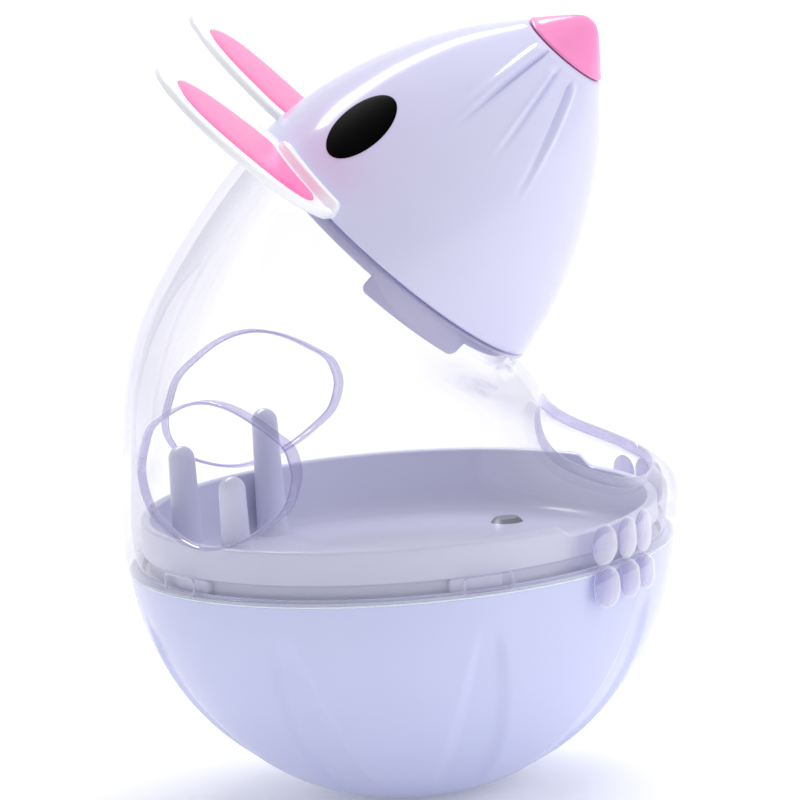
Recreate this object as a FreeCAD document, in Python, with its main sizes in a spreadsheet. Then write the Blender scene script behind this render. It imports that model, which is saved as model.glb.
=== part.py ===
import FreeCAD, Part
import Sketcher
import math
import os

# Wobble treat dispenser: a weighted round-bottomed bowl, a clear dome with
# outlets, and a mouse-shaped head that closes the neck.
# Frame: origin at the centre of the small flat the bowl rests on, +Z up,
# +X towards the nose. Millimetres.

V = FreeCAD.Vector
os.makedirs("parts", exist_ok=True)
doc = FreeCAD.newDocument("wobble_treat_dispenser")

# ---------------------------------------------------------------- dimensions
DIMS = [
    ("body_radius", 42.3), ("body_center_z", 41.5), ("seam_z", 37.5),
    ("bowl_wall", 2.0), ("dome_wall", 1.7), ("seam_gap", 0.3),
    ("flute_depth", 0.6), ("flute_round", 14.0), ("flute_run", 56.0),
    ("flute_center_z", 19.5),
    # ballast
    ("slug_radius", 18.0), ("slug_top_z", 11.0), ("slug_rib", 1.5),
    ("boss_radius", 3.0), ("boss_top_z", 8.0), ("pilot_radius", 1.25),
    ("screw_head_radius", 2.7), ("screw_head_height", 1.7),
    # tray
    ("tray_under_z", 34.0), ("tray_floor_z", 35.8), ("tray_mound_z", 38.4),
    ("collar_radius", 39.9), ("collar_inner", 38.4), ("collar_top_z", 45.6),
    ("collar_front_z", 43.8), ("collar_front_x", 27.0), ("groove_radius", 38.9),
    ("groove_top_z", 40.4), ("tray_boss_ring", 29.0), ("tray_boss_radius", 3.2),
    ("key_width", 8.4), ("key_angle_rear", 139.0), ("key_angle_front", 69.0),
    ("post_ring", 35.5), ("post_angle", 129.5), ("post_ring_rear", 33.0), ("post_foot_radius", 2.4),
    ("post_tip_radius", 2.05), ("post_tip_z", 53.8),
    # dome sections: centre x, centre z, tilt, half length, half width
    ("seca_x", 0), ("seca_z", 37.8), ("seca_tilt", 0), ("seca_len", 42.5), ("seca_wid", 42.52),
    ("secb_x", 0), ("secb_z", 41.5), ("secb_tilt", 0), ("secb_len", 42.99), ("secb_wid", 43.0),
    ("secc_x", -0.05), ("secc_z", 48.3), ("secc_tilt", 2.28), ("secc_len", 42.68), ("secc_wid", 42.8),
    ("secd_x", -1.55), ("secd_z", 52.85), ("secd_tilt", 5.14), ("secd_len", 40.72), ("secd_wid", 41.7),
    ("sece_x", -5.6), ("sece_z", 60.04), ("sece_tilt", 10.43), ("sece_len", 35.69), ("sece_wid", 38.5),
    ("secf_x", -6.1), ("secf_z", 68.45), ("secf_tilt", 18.0), ("secf_len", 31.85), ("secf_wid", 34.8),
    ("secg_x", -3.35), ("secg_z", 76.05), ("secg_tilt", 29.1), ("secg_len", 28.9), ("secg_wid", 30.5),
    ("sech_x", 0.956), ("sech_z", 84.156), ("sech_tilt", 45.0), ("sech_len", 26.29), ("sech_wid", 26.3),
    ("seci_x", 2.654), ("seci_z", 85.854), ("seci_tilt", 45.0), ("seci_len", 26.19), ("seci_wid", 26.2),
    # neck frame
    ("neck_x", 2.3), ("neck_z", 85.5), ("neck_tilt", 45.0),
    ("neck_bore", 24.6),
    # ring
    ("ring_outer", 24.1), ("ring_inner", 22.7), ("ring_low", -1.7), ("ring_high", 2.9), ("ring_step", 0.9),
    ("tongue_low", -4.4), ("tongue_angle", 112.0), ("tongue_half", 23.5),
    # head profile: distance along the neck axis and radius
    ("head_wall", 1.8),
    ("heada_s", 0.8), ("heada_r", 26.3), ("headb_s", 5.0), ("headb_r", 25.6),
    ("headc_s", 10.0), ("headc_r", 24.6), ("headd_s", 15.0), ("headd_r", 23.0),
    ("heade_s", 20.0), ("heade_r", 21.0), ("headf_s", 25.0), ("headf_r", 18.5),
    ("headg_s", 30.0), ("headg_r", 15.5), ("headh_s", 35.0), ("headh_r", 11.7),
    ("headi_s", 38.9), ("headi_r", 8.2), ("headj_s", 39.9), ("headj_r", 6.9),
    ("base_disc_low", 3.2), ("base_disc_high", 5.0), ("base_disc_radius", 23.6),
    ("spigot_outer", 22.3), ("spigot_inner", 20.8), ("spigot_low", 0.9),
    ("head_boss_ring", 16.6), ("head_boss_radius", 2.7),
    ("eye_s", 13.4), ("eye_angle", 45.3), ("eye_half_long", 6.5), ("eye_half_short", 4.3),
    ("eye_depth", 1.0), ("eye_turn", 7.0),
    # ears
    ("ear_low", 0.75), ("ear_thickness", 1.15), ("ear_x", -28.5), ("ear_y", 24.0),
    ("ear_half_length", 17.3), ("ear_half_width", 15.2), ("ear_root_radius", 27.3), ("ear_root_high", 3.6),
    ("ear_root_angle", 47.0), ("ear_root_half", 19.0),
    ("inlay_half_length", 13.4), ("inlay_half_width", 10.7), ("inlay_depth", 0.6), ("inlay_recess", 0.15),
    ("inlay_clear_radius", 27.8), ("ear_clear_radius", 26.7),
    # nose
    ("nose_base_s", 40.0), ("nose_radius", 7.1), ("nose_height", 6.35), ("nose_stem", 3.0),
    # outlets
    ("outlet_angle", 130.5), ("outlet_z", 57.0), ("outlet_half_width", 16.0), ("outlet_half_height", 10.6),
    ("front_hole_x", 31.8), ("front_hole_z", 52.95), ("front_hole_tilt", 22.5),
    ("front_hole_half_width", 16.0), ("front_hole_half_height", 8.7),
    # paws
    ("paw_angle", 35.0), ("toe_spacing", 5.2), ("toe_radius", 2.5),
    ("toe_low_z", 34.2), ("toe_high_z", 40.6), ("toe_ring", 44.0), ("paw_clear_radius", 42.7),
    ("palm_ring", 43.95), ("palm_z", 42.0), ("palm_round", 2.35), ("palm_half_width", 7.6),
]
sheet = doc.addObject("Spreadsheet::Sheet", "Dim")
for i, (alias, value) in enumerate(DIMS, 1):
    sheet.set("A%d" % i, alias)
    sheet.set("B%d" % i, str(value))
    sheet.setAlias("B%d" % i, alias)
doc.recompute()


class Q:
    """A size: its number now, and the expression that gives it."""

    def __init__(self, val, txt):
        self.val, self.txt = float(val), txt

    def _mix(self, other, sign):
        o = other if isinstance(other, Q) else Q(other, repr(float(other)))
        v = {"+": self.val + o.val, "-": self.val - o.val, "*": self.val * o.val,
             "/": self.val / o.val if o.val else 0.0}[sign]
        return Q(v, "(%s %s %s)" % (self.txt, sign, o.txt))

    def __add__(self, o): return self._mix(o, "+")
    def __sub__(self, o): return self._mix(o, "-")
    def __mul__(self, o): return self._mix(o, "*")
    def __truediv__(self, o): return self._mix(o, "/")
    def __neg__(self): return Q(-self.val, "(0 - %s)" % self.txt)


def q(alias):
    return Q(getattr(sheet, alias), "Dim." + alias)


def num(x):
    return x if isinstance(x, Q) else Q(x, repr(float(x)))


def put(obj, **sizes):
    """Set properties and bind each to its expression."""
    for name, size in sizes.items():
        size = num(size)
        path = {"px": "Placement.Base.x", "py": "Placement.Base.y", "pz": "Placement.Base.z",
                "turn": "Placement.Rotation.Angle"}.get(name, name)
        if "." not in path:
            setattr(obj, path, size.val)
        if size.txt.replace(".", "").replace("-", "").isdigit():
            if "." in path:
                base = obj.Placement.Base
                if path.endswith("x"): base.x = size.val
                if path.endswith("y"): base.y = size.val
                if path.endswith("z"): base.z = size.val
                obj.Placement = FreeCAD.Placement(base, obj.Placement.Rotation)
        else:
            obj.setExpression(path, size.txt)


def make(kind, name, rot=None, **sizes):
    o = doc.addObject(kind, name)
    if rot is not None:
        o.Placement = FreeCAD.Placement(V(0, 0, 0), rot)
    put(o, **sizes)
    return o


def cyl(name, r, h, px=0, py=0, pz=0):
    return make("Part::Cylinder", name, Radius=r, Height=h, px=px, py=py, pz=pz)


def ball(name, r, px=0, py=0, pz=0):
    return make("Part::Sphere", name, Radius=r, px=px, py=py, pz=pz)


def cut(name, base, tool):
    o = doc.addObject("Part::Cut", name)
    o.Base, o.Tool = base, tool
    return o


def fuse(name, *shapes):
    o = doc.addObject("Part::MultiFuse", name)
    o.Shapes = list(shapes)
    return o


def common(name, a, b):
    o = doc.addObject("Part::Common", name)
    o.Base, o.Tool = a, b
    return o


def around(angle_deg, radius):
    """x and y of a point at an angle on a ring."""
    a = math.radians(angle_deg)
    return num(radius) * math.cos(a), num(radius) * math.sin(a)


def profile_body(label, pts):
    """A turned piece: closed polyline of (radius, height), revolved about its own Z."""
    body = doc.addObject("PartDesign::Body", label)
    plane = [f for f in body.Origin.OriginFeatures if f.Role == "XZ_Plane"][0]
    sk = body.newObject("Sketcher::SketchObject", label + "_profile")
    sk.AttachmentSupport = [(plane, "")]
    sk.MapMode = "FlatFace"
    pts = [(num(a), num(b)) for a, b in pts]
    n = len(pts)
    for i in range(n):
        a, b = pts[i], pts[(i + 1) % n]
        sk.addGeometry(Part.LineSegment(V(a[0].val, a[1].val, 0), V(b[0].val, b[1].val, 0)), False)
    for i in range(n):
        sk.addConstraint(Sketcher.Constraint("Coincident", i, 2, (i + 1) % n, 1))
    for i, (x, y) in enumerate(pts):
        for size, kind, axis in ((x, "DistanceX", -2), (y, "DistanceY", -1)):
            if abs(size.val) < 1e-9:
                sk.addConstraint(Sketcher.Constraint("PointOnObject", i, 1, axis))
            else:
                k = sk.addConstraint(Sketcher.Constraint(kind, -1, 1, i, 1, size.val))
                sk.setExpression("Constraints[%d]" % k, size.txt)
    rev = body.newObject("PartDesign::Revolution", label + "_turned")
    rev.Profile = sk
    rev.ReferenceAxis = (sk, ["V_Axis"])
    rev.Angle = 360.0
    body.Tip = rev
    return body


def loft(name, sections):
    o = doc.addObject("Part::Loft", name)
    o.Sections = sections
    o.Solid = True
    o.Ruled = False
    return o


def neck_frame(obj):
    """Put a piece that was modelled about Z onto the neck axis."""
    obj.Placement = FreeCAD.Placement(V(q("neck_x").val, 0, q("neck_z").val),
                                      FreeCAD.Rotation(V(0, 1, 0), q("neck_tilt").val))
    obj.setExpression("Placement.Base.x", "Dim.neck_x")
    obj.setExpression("Placement.Base.z", "Dim.neck_z")
    obj.setExpression("Placement.Rotation.Angle", "Dim.neck_tilt")
    return obj


R, CZ, SEAM = q("body_radius"), q("body_center_z"), q("seam_z")
WALL = q("bowl_wall")
parts = []

# ------------------------------------------------------------------ the bowl
bowl_ball = ball("bowl_ball", R, pz=CZ)
bowl_zone = cyl("bowl_zone", 60, SEAM)
bowl_block = common("bowl_block", bowl_ball, bowl_zone)
bowl_hollow = ball("bowl_hollow", R - WALL, pz=CZ)
bowl_shell = cut("bowl_shell", bowl_block, bowl_hollow)
# inside ribs and bosses, kept within the wall
rib_out = cyl("rib_out", q("slug_radius") + q("slug_rib"), q("slug_top_z") - 1.0)
rib_in = cyl("rib_in", q("slug_radius"), q("slug_top_z"))
rib = cut("rib", rib_out, rib_in)
slug_boss = cyl("slug_boss", q("boss_radius"), q("boss_top_z"))
tray_bosses = []
for k, a in enumerate((60, 180, 300)):
    bx, by = around(a, q("tray_boss_ring"))
    tray_bosses.append(cyl("tray_boss_%d" % k, q("tray_boss_radius"), q("tray_under_z") - 5, px=bx, py=by, pz=5))
inside = fuse("bowl_inside", rib, slug_boss, *tray_bosses)
inside_limit = ball("inside_limit", R - WALL * 0.5, pz=CZ)
inside_cut = common("bowl_inside_cut", inside, inside_limit)
bowl_whole = fuse("bowl_whole", bowl_shell, inside_cut)
pilots = [cyl("slug_pilot", q("pilot_radius"), q("boss_top_z"), pz=2.6)]
for k, a in enumerate((60, 180, 300)):
    bx, by = around(a, q("tray_boss_ring"))
    pilots.append(cyl("tray_pilot_%d" % k, q("pilot_radius"), 12, px=bx, py=by, pz=q("tray_under_z") - 9))
pilot_set = fuse("bowl_pilots", *pilots)
bowl_drilled = cut("bowl_drilled", bowl_whole, pilot_set)
# eight shallow flutes on the outside: each is the touch of a large ring that
# runs up the wall, deepest at its middle and fading out at both ends
flutes = []
drop = CZ.val - q("flute_center_z").val
lean = math.degrees(math.asin(drop / R.val))
for k in range(8):
    az = 22.5 + 45 * k
    f = doc.addObject("Part::Torus", "flute_%d" % k)
    put(f, Radius1=q("flute_run"), Radius2=q("flute_round"))
    f.Angle3 = 44
    spin = FreeCAD.Rotation(V(0, 0, 1), az).multiply(FreeCAD.Rotation(V(1, 0, 0), 90))
    f.Placement = FreeCAD.Placement(V(0, 0, 0), spin.multiply(FreeCAD.Rotation(V(0, 0, 1), -lean - 22)))
    d = R + q("flute_round") - q("flute_depth") - q("flute_run")
    lx = math.cos(math.radians(az)) * math.cos(math.radians(lean))
    ly = math.sin(math.radians(az)) * math.cos(math.radians(lean))
    put(f, px=d * lx, py=d * ly, pz=CZ - d * math.sin(math.radians(lean)))
    flutes.append(f)
base_bowl = bowl_drilled
for k, f in enumerate(flutes):
    base_bowl = cut("base_bowl" if k == 7 else "bowl_fluted_%d" % k, base_bowl, f)
parts.append(base_bowl)

# ---------------------------------------------------------------- the ballast
slug_cyl = cyl("slug_cylinder", q("slug_radius"), q("slug_top_z"))
slug_ball = ball("slug_ball", R - WALL, pz=CZ)
slug_block = common("slug_block", slug_cyl, slug_ball)
slug_bore = cyl("slug_bore", q("boss_radius") + 0.2, q("boss_top_z"))
slug_hole = cyl("slug_hole", q("pilot_radius") + 0.35, q("slug_top_z") + 1)
slug_holes = fuse("slug_holes", slug_bore, slug_hole)
counterweight = cut("counterweight", slug_block, slug_holes)
parts.append(counterweight)

HR, HH, PR = q("screw_head_radius"), q("screw_head_height"), q("pilot_radius")


def screw(name, length):
    """A pan-head self-tapping screw, head underside at height 0, pointing down."""
    return profile_body(name, [(0, -num(length)), (PR * 0.5, -num(length)), (PR, -num(length) + 1.2), (PR, 0),
                               (HR, 0), (HR, HH * 0.5), (HR * 0.7, HH), (0, HH)])


weight_screw_blank = screw("weight_screw_blank", 8.0)
slot_a = make("Part::Box", "weight_slot", Length=3.2, Width=0.8, Height=2, px=-1.6, py=-0.4, pz=HH - 0.9)
weight_screw = cut("weight_screw", weight_screw_blank, slot_a)
put(weight_screw, pz=q("slug_top_z"))
parts.append(weight_screw)

# ------------------------------------------------------------------- the tray
tray_body = profile_body("tray_turned", [
    (0, q("tray_under_z")), (q("collar_radius") - 0.6, q("tray_under_z")),
    (q("collar_radius") - 0.1, q("tray_under_z") + 2.4), (q("collar_radius") - 0.1, SEAM),
    (q("groove_radius"), SEAM + 0.2), (q("groove_radius"), q("groove_top_z") - 0.2),
    (q("collar_radius"), q("groove_top_z")), (q("collar_radius"), q("collar_top_z") - 0.3),
    (q("collar_radius") - 0.3, q("collar_top_z")), (q("collar_inner") + 0.3, q("collar_top_z")),
    (q("collar_inner"), q("collar_top_z") - 0.3), (q("collar_inner"), q("groove_top_z") - 1.6),
    (q("collar_inner") - 0.6, q("tray_floor_z") + 1.1), (q("collar_inner") - 2.2, q("tray_floor_z") + 0.15),
    (q("collar_inner") - 5.0, q("tray_floor_z")), (22, q("tray_floor_z") + 0.5),
    (12, q("tray_mound_z") - 0.6), (4, q("tray_mound_z")), (0, q("tray_mound_z"))])
front_gap = doc.addObject("Part::Wedge", "collar_front_gap")
put(front_gap, Xmin=q("collar_front_x") + 1.5, Xmax=60, X2min=q("collar_front_x") - 1.0, X2max=60,
    Ymin=q("collar_front_z"), Ymax=60, Zmin=-60, Zmax=60, Z2min=-60, Z2max=60)
front_gap.Placement = FreeCAD.Placement(V(0, 0, 0), FreeCAD.Rotation(V(1, 0, 0), 90))
tray_notched = cut("tray_notched", tray_body, front_gap)
tray_adds = []
for k, a in enumerate((180, q("post_angle"), -q("post_angle"))):
    ang = a if isinstance(a, (int, float)) else a.val
    x, y = around(ang, q("post_ring_rear" if ang == 180 else "post_ring"))
    stem = make("Part::Cone", "post_%d" % k, Radius1=q("post_foot_radius"), Radius2=q("post_tip_radius"),
                Height=q("post_tip_z") - q("tray_under_z") - 1, px=x, py=y, pz=q("tray_under_z") + 1)
    tip = ball("post_tip_%d" % k, q("post_tip_radius"), px=x, py=y, pz=q("post_tip_z"))
    tray_adds += [stem, tip]
key_tube_out = cyl("key_tube_out", q("collar_radius"), q("groove_top_z") - SEAM - 0.4, pz=SEAM + 0.4)
key_tube_in = cyl("key_tube_in", q("groove_radius") - 0.4, 10, pz=SEAM)
key_tube = cut("key_tube", key_tube_out, key_tube_in)
key_boxes = []
for k, a in enumerate((q("key_angle_rear").val, -q("key_angle_rear").val,
                       q("key_angle_front").val, -q("key_angle_front").val)):
    b = doc.addObject("Part::Box", "key_box_%d" % k)
    put(b, Length=10, Width=q("key_width"), Height=10)
    ar = math.radians(a)
    w = q("key_width").val / 2
    b.Placement = FreeCAD.Placement(V(34 * math.cos(ar) + w * math.sin(ar), 34 * math.sin(ar) - w * math.cos(ar), 36),
                                    FreeCAD.Rotation(V(0, 0, 1), a))
    key_boxes.append(b)
key_zone = fuse("key_zone", *key_boxes)
keys = common("keys", key_tube, key_zone)
tray_full = fuse("tray_full", tray_notched, keys, *tray_adds)
tray_drills = []
for k, a in enumerate((60, 180, 300)):
    bx, by = around(a, q("tray_boss_ring"))
    tray_drills.append(cyl("tray_drill_%d" % k, PR + 0.3, 6, px=bx, py=by, pz=q("tray_under_z") - 1))
    tray_drills.append(cyl("tray_sink_%d" % k, HR + 0.3, 6, px=bx, py=by, pz=q("tray_under_z") + 1.0))
tray_drill_set = fuse("tray_drill_set", *tray_drills)
treat_tray = cut("treat_tray", tray_full, tray_drill_set)
parts.append(treat_tray)

tray_screw_list = []
for k, a in enumerate((60, 180, 300)):
    s = screw("tray_screw_%d" % k, 9.0)
    bx, by = around(a, q("tray_boss_ring"))
    put(s, px=bx, py=by, pz=q("tray_under_z") + 1.0)
    tray_screw_list.append(s)
tray_screws = doc.addObject("Part::Compound", "tray_screws")
tray_screws.Links = tray_screw_list
parts.append(tray_screws)

# ------------------------------------------------------------------- the dome
SEC = "abcdefghi"


def section_points(k):
    """Rear and front point of a dome section, in the XZ plane."""
    x, z, tl, ln = (q("sec%s_%s" % (k, w)).val for w in ("x", "z", "tilt", "len"))
    c, s = math.cos(math.radians(tl)), math.sin(math.radians(tl))
    return (x - ln * c, z + ln * s), (x + ln * c, z - ln * s)


def normals(points, side):
    """Outward unit normals of a polyline, side -1 for the rear and +1 for the front."""
    out = []
    for i in range(len(points)):
        a, b = points[max(0, i - 1)], points[min(len(points) - 1, i + 1)]
        dx, dz = b[0] - a[0], b[1] - a[1]
        n = math.hypot(dx, dz)
        out.append((side * dz / n, -side * dx / n))
    return out


rear = [section_points(k)[0] for k in SEC]
front = [section_points(k)[1] for k in SEC]
nr, nf = normals(rear, -1), normals(front, 1)
sides = [(q("sec%s_wid" % k).val, math.hypot(q("sec%s_x" % k).val, 0) * 0 + q("sec%s_z" % k).val) for k in SEC]
ns = normals(sides, 1)
DW = q("dome_wall")


def dome_section(k, i, inner):
    o = doc.addObject("Part::Ellipse", ("inner_" if inner else "outer_") + "section_" + k)
    x, z, tl, ln, wd = (q("sec%s_%s" % (k, w)) for w in ("x", "z", "tilt", "len", "wid"))
    if inner:
        # move the rear and front points inward by the wall, square to the surface
        w = DW.val
        r2 = (rear[i][0] - w * nr[i][0], rear[i][1] - w * nr[i][1])
        f2 = (front[i][0] - w * nf[i][0], front[i][1] - w * nf[i][1])
        nx, nz = (r2[0] + f2[0]) / 2, (r2[1] + f2[1]) / 2
        nt = math.degrees(math.atan2(r2[1] - f2[1], f2[0] - r2[0]))
        nl = math.hypot(f2[0] - r2[0], f2[1] - r2[1]) / 2
        side = min(1.0 / max(ns[i][0], 0.5), 1.5)
        x = x + DW * ((nx - x.val) / w)
        z = z + DW * ((nz - z.val) / w)
        tl = tl + DW * ((nt - tl.val) / w)
        ln = ln + DW * ((nl - ln.val) / w)
        wd = wd - DW * side
        if k == "a":
            # run the inner form out below the rim
            z = q("seca_z") - 1.2
            ln = q("seca_len") - DW
            wd = q("seca_wid") - DW
            x, tl = q("seca_x"), q("seca_tilt")
        if k in "hi":
            # a plain bore at the neck, run out past the rim
            x, z, tl = q("sec%s_x" % k), q("sec%s_z" % k), q("sec%s_tilt" % k)
            if k == "i":
                lean_n = math.radians(q("neck_tilt").val)
                x, z = x + 0.9 * math.sin(lean_n), z + 0.9 * math.cos(lean_n)
            wd, ln = q("neck_bore"), q("neck_bore") - 0.01
    if ln.val > wd.val:
        ln = wd - 0.01
    put(o, MajorRadius=wd, MinorRadius=ln)
    # the long axis runs across the object, and the section leans by its tilt
    o.Placement = FreeCAD.Placement(V(x.val, 0, z.val),
                                    FreeCAD.Rotation(V(0, 1, 0), tl.val).multiply(FreeCAD.Rotation(V(0, 0, 1), 90)))
    o.setExpression("Placement.Base.x", x.txt)
    o.setExpression("Placement.Base.z", z.txt)
    return o


dome_outer = loft("dome_outer", [dome_section(k, i, False) for i, k in enumerate(SEC)])
dome_inner = loft("dome_inner", [dome_section(k, i, True) for i, k in enumerate(SEC)])
# paws: three rounded toes on each side, moulded on over the seam
toes, palms = [], []
for side in (1, -1):
    for j in (-1, 0, 1):
        ang = side * (q("paw_angle").val + math.degrees(j * q("toe_spacing").val / q("toe_ring").val))
        x, y = around(ang, q("toe_ring"))
        low = q("toe_low_z") - (0.0 if j == 0 else -0.6)
        tag = "%s%d" % ("l" if side > 0 else "r", j + 1)
        toes.append(cyl("toe_stem_" + tag, q("toe_radius"), q("toe_high_z") - low, px=x, py=y, pz=low))
        toes.append(ball("toe_end_" + tag, q("toe_radius"), px=x, py=y, pz=low))
        toes.append(ball("toe_top_" + tag, q("toe_radius"), px=x, py=y, pz=q("toe_high_z")))
    ang = side * q("paw_angle").val
    x, y = around(ang, q("palm_ring"))
    tag = "l" if side > 0 else "r"
    half = q("palm_half_width") - q("palm_round")
    ca, sa = math.cos(math.radians(ang)), math.sin(math.radians(ang))
    bar = doc.addObject("Part::Cylinder", "palm_" + tag)
    bar.Placement = FreeCAD.Placement(V(0, 0, 0), FreeCAD.Rotation(V(0, 0, 1), ang).multiply(FreeCAD.Rotation(V(1, 0, 0), -90)))
    put(bar, Radius=q("palm_round"), Height=half * 2, px=x + half * sa, py=y - half * ca, pz=q("palm_z"))
    palms.append(bar)
    palms.append(ball("palm_end_a" + tag, q("palm_round"), px=x + half * sa, py=y - half * ca, pz=q("palm_z")))
    palms.append(ball("palm_end_b" + tag, q("palm_round"), px=x - half * sa, py=y + half * ca, pz=q("palm_z")))
toe_set = fuse("toe_set", *toes)
toe_clear = cyl("toe_clear", q("paw_clear_radius"), q("seca_z"))
toe_trim = cut("toe_trim", toe_set, toe_clear)
dome_walls = cut("dome_walls", dome_outer, dome_inner)
palm_set = fuse("palm_set", *palms)
dome_shell = fuse("dome_shell", dome_walls, toe_trim, palm_set)


# outlets: a rounded window with two soft corners above, cut square to the wall
def window(name, shape_pts, half_w, half_h, depth, pose, way):
    curve = Part.BSplineCurve()
    curve.interpolate([V(a * half_w, b * half_h, 0) for a, b in shape_pts], True)
    w = doc.addObject("Part::Feature", name + "_outline")
    w.Shape = Part.Wire([curve.toShape()])
    w.Placement = pose
    e = doc.addObject("Part::Extrusion", name)
    e.Base = w
    e.DirMode = "Custom"
    e.Dir = way
    e.LengthFwd = depth
    e.Solid = True
    return e


REAR_WINDOW = [(-1.007, -0.016), (-0.934, 0.237), (-0.842, 0.484), (-0.621, 0.696), (-0.327, 0.899), (0.014, 0.996),
               (0.403, 0.864), (0.646, 0.664), (0.773, 0.536), (0.870, 0.422), (0.945, 0.235), (0.993, 0.023),
               (0.992, -0.158), (0.961, -0.349), (0.832, -0.559), (0.587, -0.808), (0.306, -0.963), (0.0, -1.006),
               (-0.312, -0.911), (-0.594, -0.746), (-0.797, -0.582), (-0.933, -0.371), (-1.001, -0.191)]
FRONT_WINDOW = []
for i in range(20):
    t = 2 * math.pi * i / 20
    c, s_ = math.cos(t), math.sin(t)
    FRONT_WINDOW.append((math.copysign(abs(c) ** 0.8, c), math.copysign(abs(s_) ** 0.8, s_)))

outlets = []
for tag, side in (("left", 1), ("right", -1)):
    a = math.radians(side * q("outlet_angle").val)
    out = V(math.cos(a), math.sin(a), 0)
    # outline X runs towards the front, outline Y up
    ydir = V(0, 0, 1)
    xdir = V(-math.sin(a), math.cos(a), 0) * (-side)
    zdir = xdir.cross(ydir)
    m = FreeCAD.Matrix(xdir.x, ydir.x, zdir.x, 0, xdir.y, ydir.y, zdir.y, 0, xdir.z, ydir.z, zdir.z, 0, 0, 0, 0, 1)
    pose = FreeCAD.Placement(m)
    pose.Base = out * 24 + V(0, 0, q("outlet_z").val)
    outlets.append(window("outlet_" + tag, REAR_WINDOW, q("outlet_half_width").val, q("outlet_half_height").val, 26, pose, out))
t = math.radians(q("front_hole_tilt").val)
m_z = V(math.sin(t), 0, math.cos(t))
lie = FreeCAD.Rotation(V(0, 1, 0), q("front_hole_tilt").val).multiply(FreeCAD.Rotation(V(0, 0, 1), 90))
fh = window("outlet_front", FRONT_WINDOW, q("front_hole_half_width").val, q("front_hole_half_height").val, 20,
            FreeCAD.Placement(V(q("front_hole_x").val, 0, q("front_hole_z").val) - m_z * 9, lie), m_z)
holes = fuse("dome_holes", outlets[0], outlets[1], fh)
clear_dome = cut("clear_dome", dome_shell, holes)
parts.append(clear_dome)

# ------------------------------------------------------- the ring in the neck
ring_band = profile_body("ring_band", [(q("ring_inner"), q("ring_low")), (q("ring_outer"), q("ring_low")),
                                       (q("ring_outer"), q("ring_step")), (q("ring_outer") - 0.5, q("ring_step") + 0.5),
                                       (q("ring_outer") - 0.5, q("ring_high")), (q("ring_inner"), q("ring_high"))])
tongue_tube = profile_body("tongue_tube", [(q("ring_inner"), q("tongue_low")), (q("ring_outer") - 0.2, q("tongue_low")),
                                           (q("ring_outer") - 0.2, q("ring_low") + 0.4),
                                           (q("ring_inner"), q("ring_low") + 0.4)])
wedges = []
for side in (1, -1):
    wdg = doc.addObject("Part::Cylinder", "tongue_zone_%s" % ("l" if side > 0 else "r"))
    put(wdg, Radius=30, Height=12, Angle=q("tongue_half") * 2)
    mid = 180 - side * q("tongue_angle").val
    wdg.Placement = FreeCAD.Placement(V(0, 0, -8), FreeCAD.Rotation(V(0, 0, 1), mid - q("tongue_half").val))
    wedges.append(wdg)
tongue_zone = fuse("tongue_zone", *wedges)
tongues = common("tongues", tongue_tube, tongue_zone)
neck_ring = neck_frame(fuse("neck_ring", ring_band, tongues))
parts.append(neck_ring)

# ------------------------------------------------------------------- the head
HEAD = "abcdefghij"


def head_form(name, less, low=0.0, high=0.0):
    secs = []
    for k in HEAD:
        c = doc.addObject("Part::Circle", name + "_ring_" + k)
        s_, r_ = q("head%s_s" % k), q("head%s_r" % k)
        if k == "a":
            s_ = s_ + low
        if k in "ij":
            s_ = s_ + high
        put(c, Radius=r_ - less, pz=s_)
        secs.append(c)
    return loft(name, secs)


head_outer = head_form("head_outer", 0)
head_inner = head_form("head_inner", q("head_wall"), -0.5, -1.6)
head_mid = head_form("head_mid", q("eye_depth"), -0.5, -0.8)
head_limit = head_form("head_limit", q("head_wall") - 0.45, -0.5, -1.2)
head_hollow = cut("head_hollow", head_outer, head_inner)
bosses, boss_pilots, head_screw_list = [], [], []
for k, a in enumerate((60, 180, 300)):
    bx, by = around(a, q("head_boss_ring"))
    bosses.append(cyl("head_boss_%d" % k, q("head_boss_radius"), 24, px=bx, py=by, pz=q("base_disc_high")))
    boss_pilots.append(cyl("head_pilot_%d" % k, PR, 12, px=bx, py=by, pz=q("base_disc_high") - 1))
boss_set = fuse("head_boss_set", *bosses)
boss_trim = common("head_boss_trim", boss_set, head_limit)
nose_hole = cyl("nose_hole", q("nose_stem"), 12, pz=32)
head_tools = fuse("head_tools", nose_hole, *boss_pilots)
head_full = fuse("head_full", head_hollow, boss_trim)
head_drilled = cut("head_drilled", head_full, head_tools)
# eyes: ovals let into the surface
eye_tools = []
for tag, side in (("left", 1), ("right", -1)):
    a = math.radians(180 - side * q("eye_angle").val)
    e = doc.addObject("Part::Ellipse", "eye_outline_" + tag)
    put(e, MajorRadius=q("eye_half_long"), MinorRadius=q("eye_half_short"))
    # local frame of the surface: outward, along the head, and across
    out = V(math.cos(a) * 0.94, math.sin(a) * 0.94, 0.342)
    along = V(-math.cos(a) * 0.342, -math.sin(a) * 0.342, 0.94)
    acr = along.cross(out)
    turn = math.radians(q("eye_turn").val) * side
    xd = along * math.cos(turn) + acr * math.sin(turn)
    yd = out.cross(xd)
    m = FreeCAD.Matrix(xd.x, yd.x, out.x, 0, xd.y, yd.y, out.y, 0, xd.z, yd.z, out.z, 0, 0, 0, 0, 1)
    p = FreeCAD.Placement(m)
    centre = V(math.cos(a) * 23.3, math.sin(a) * 23.3, q("eye_s").val)
    p.Base = centre - out * 6
    e.Placement = p
    x = doc.addObject("Part::Extrusion", "eye_tool_" + tag)
    x.Base = e
    x.DirMode = "Custom"
    x.Dir = out
    x.LengthFwd = 14
    x.Solid = True
    eye_tools.append(x)
eye_skin = cut("eye_skin", head_outer, head_mid)
eye_pieces = [common("eye_" + tag, eye_skin, tool) for tag, tool in zip(("left", "right"), eye_tools)]
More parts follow.
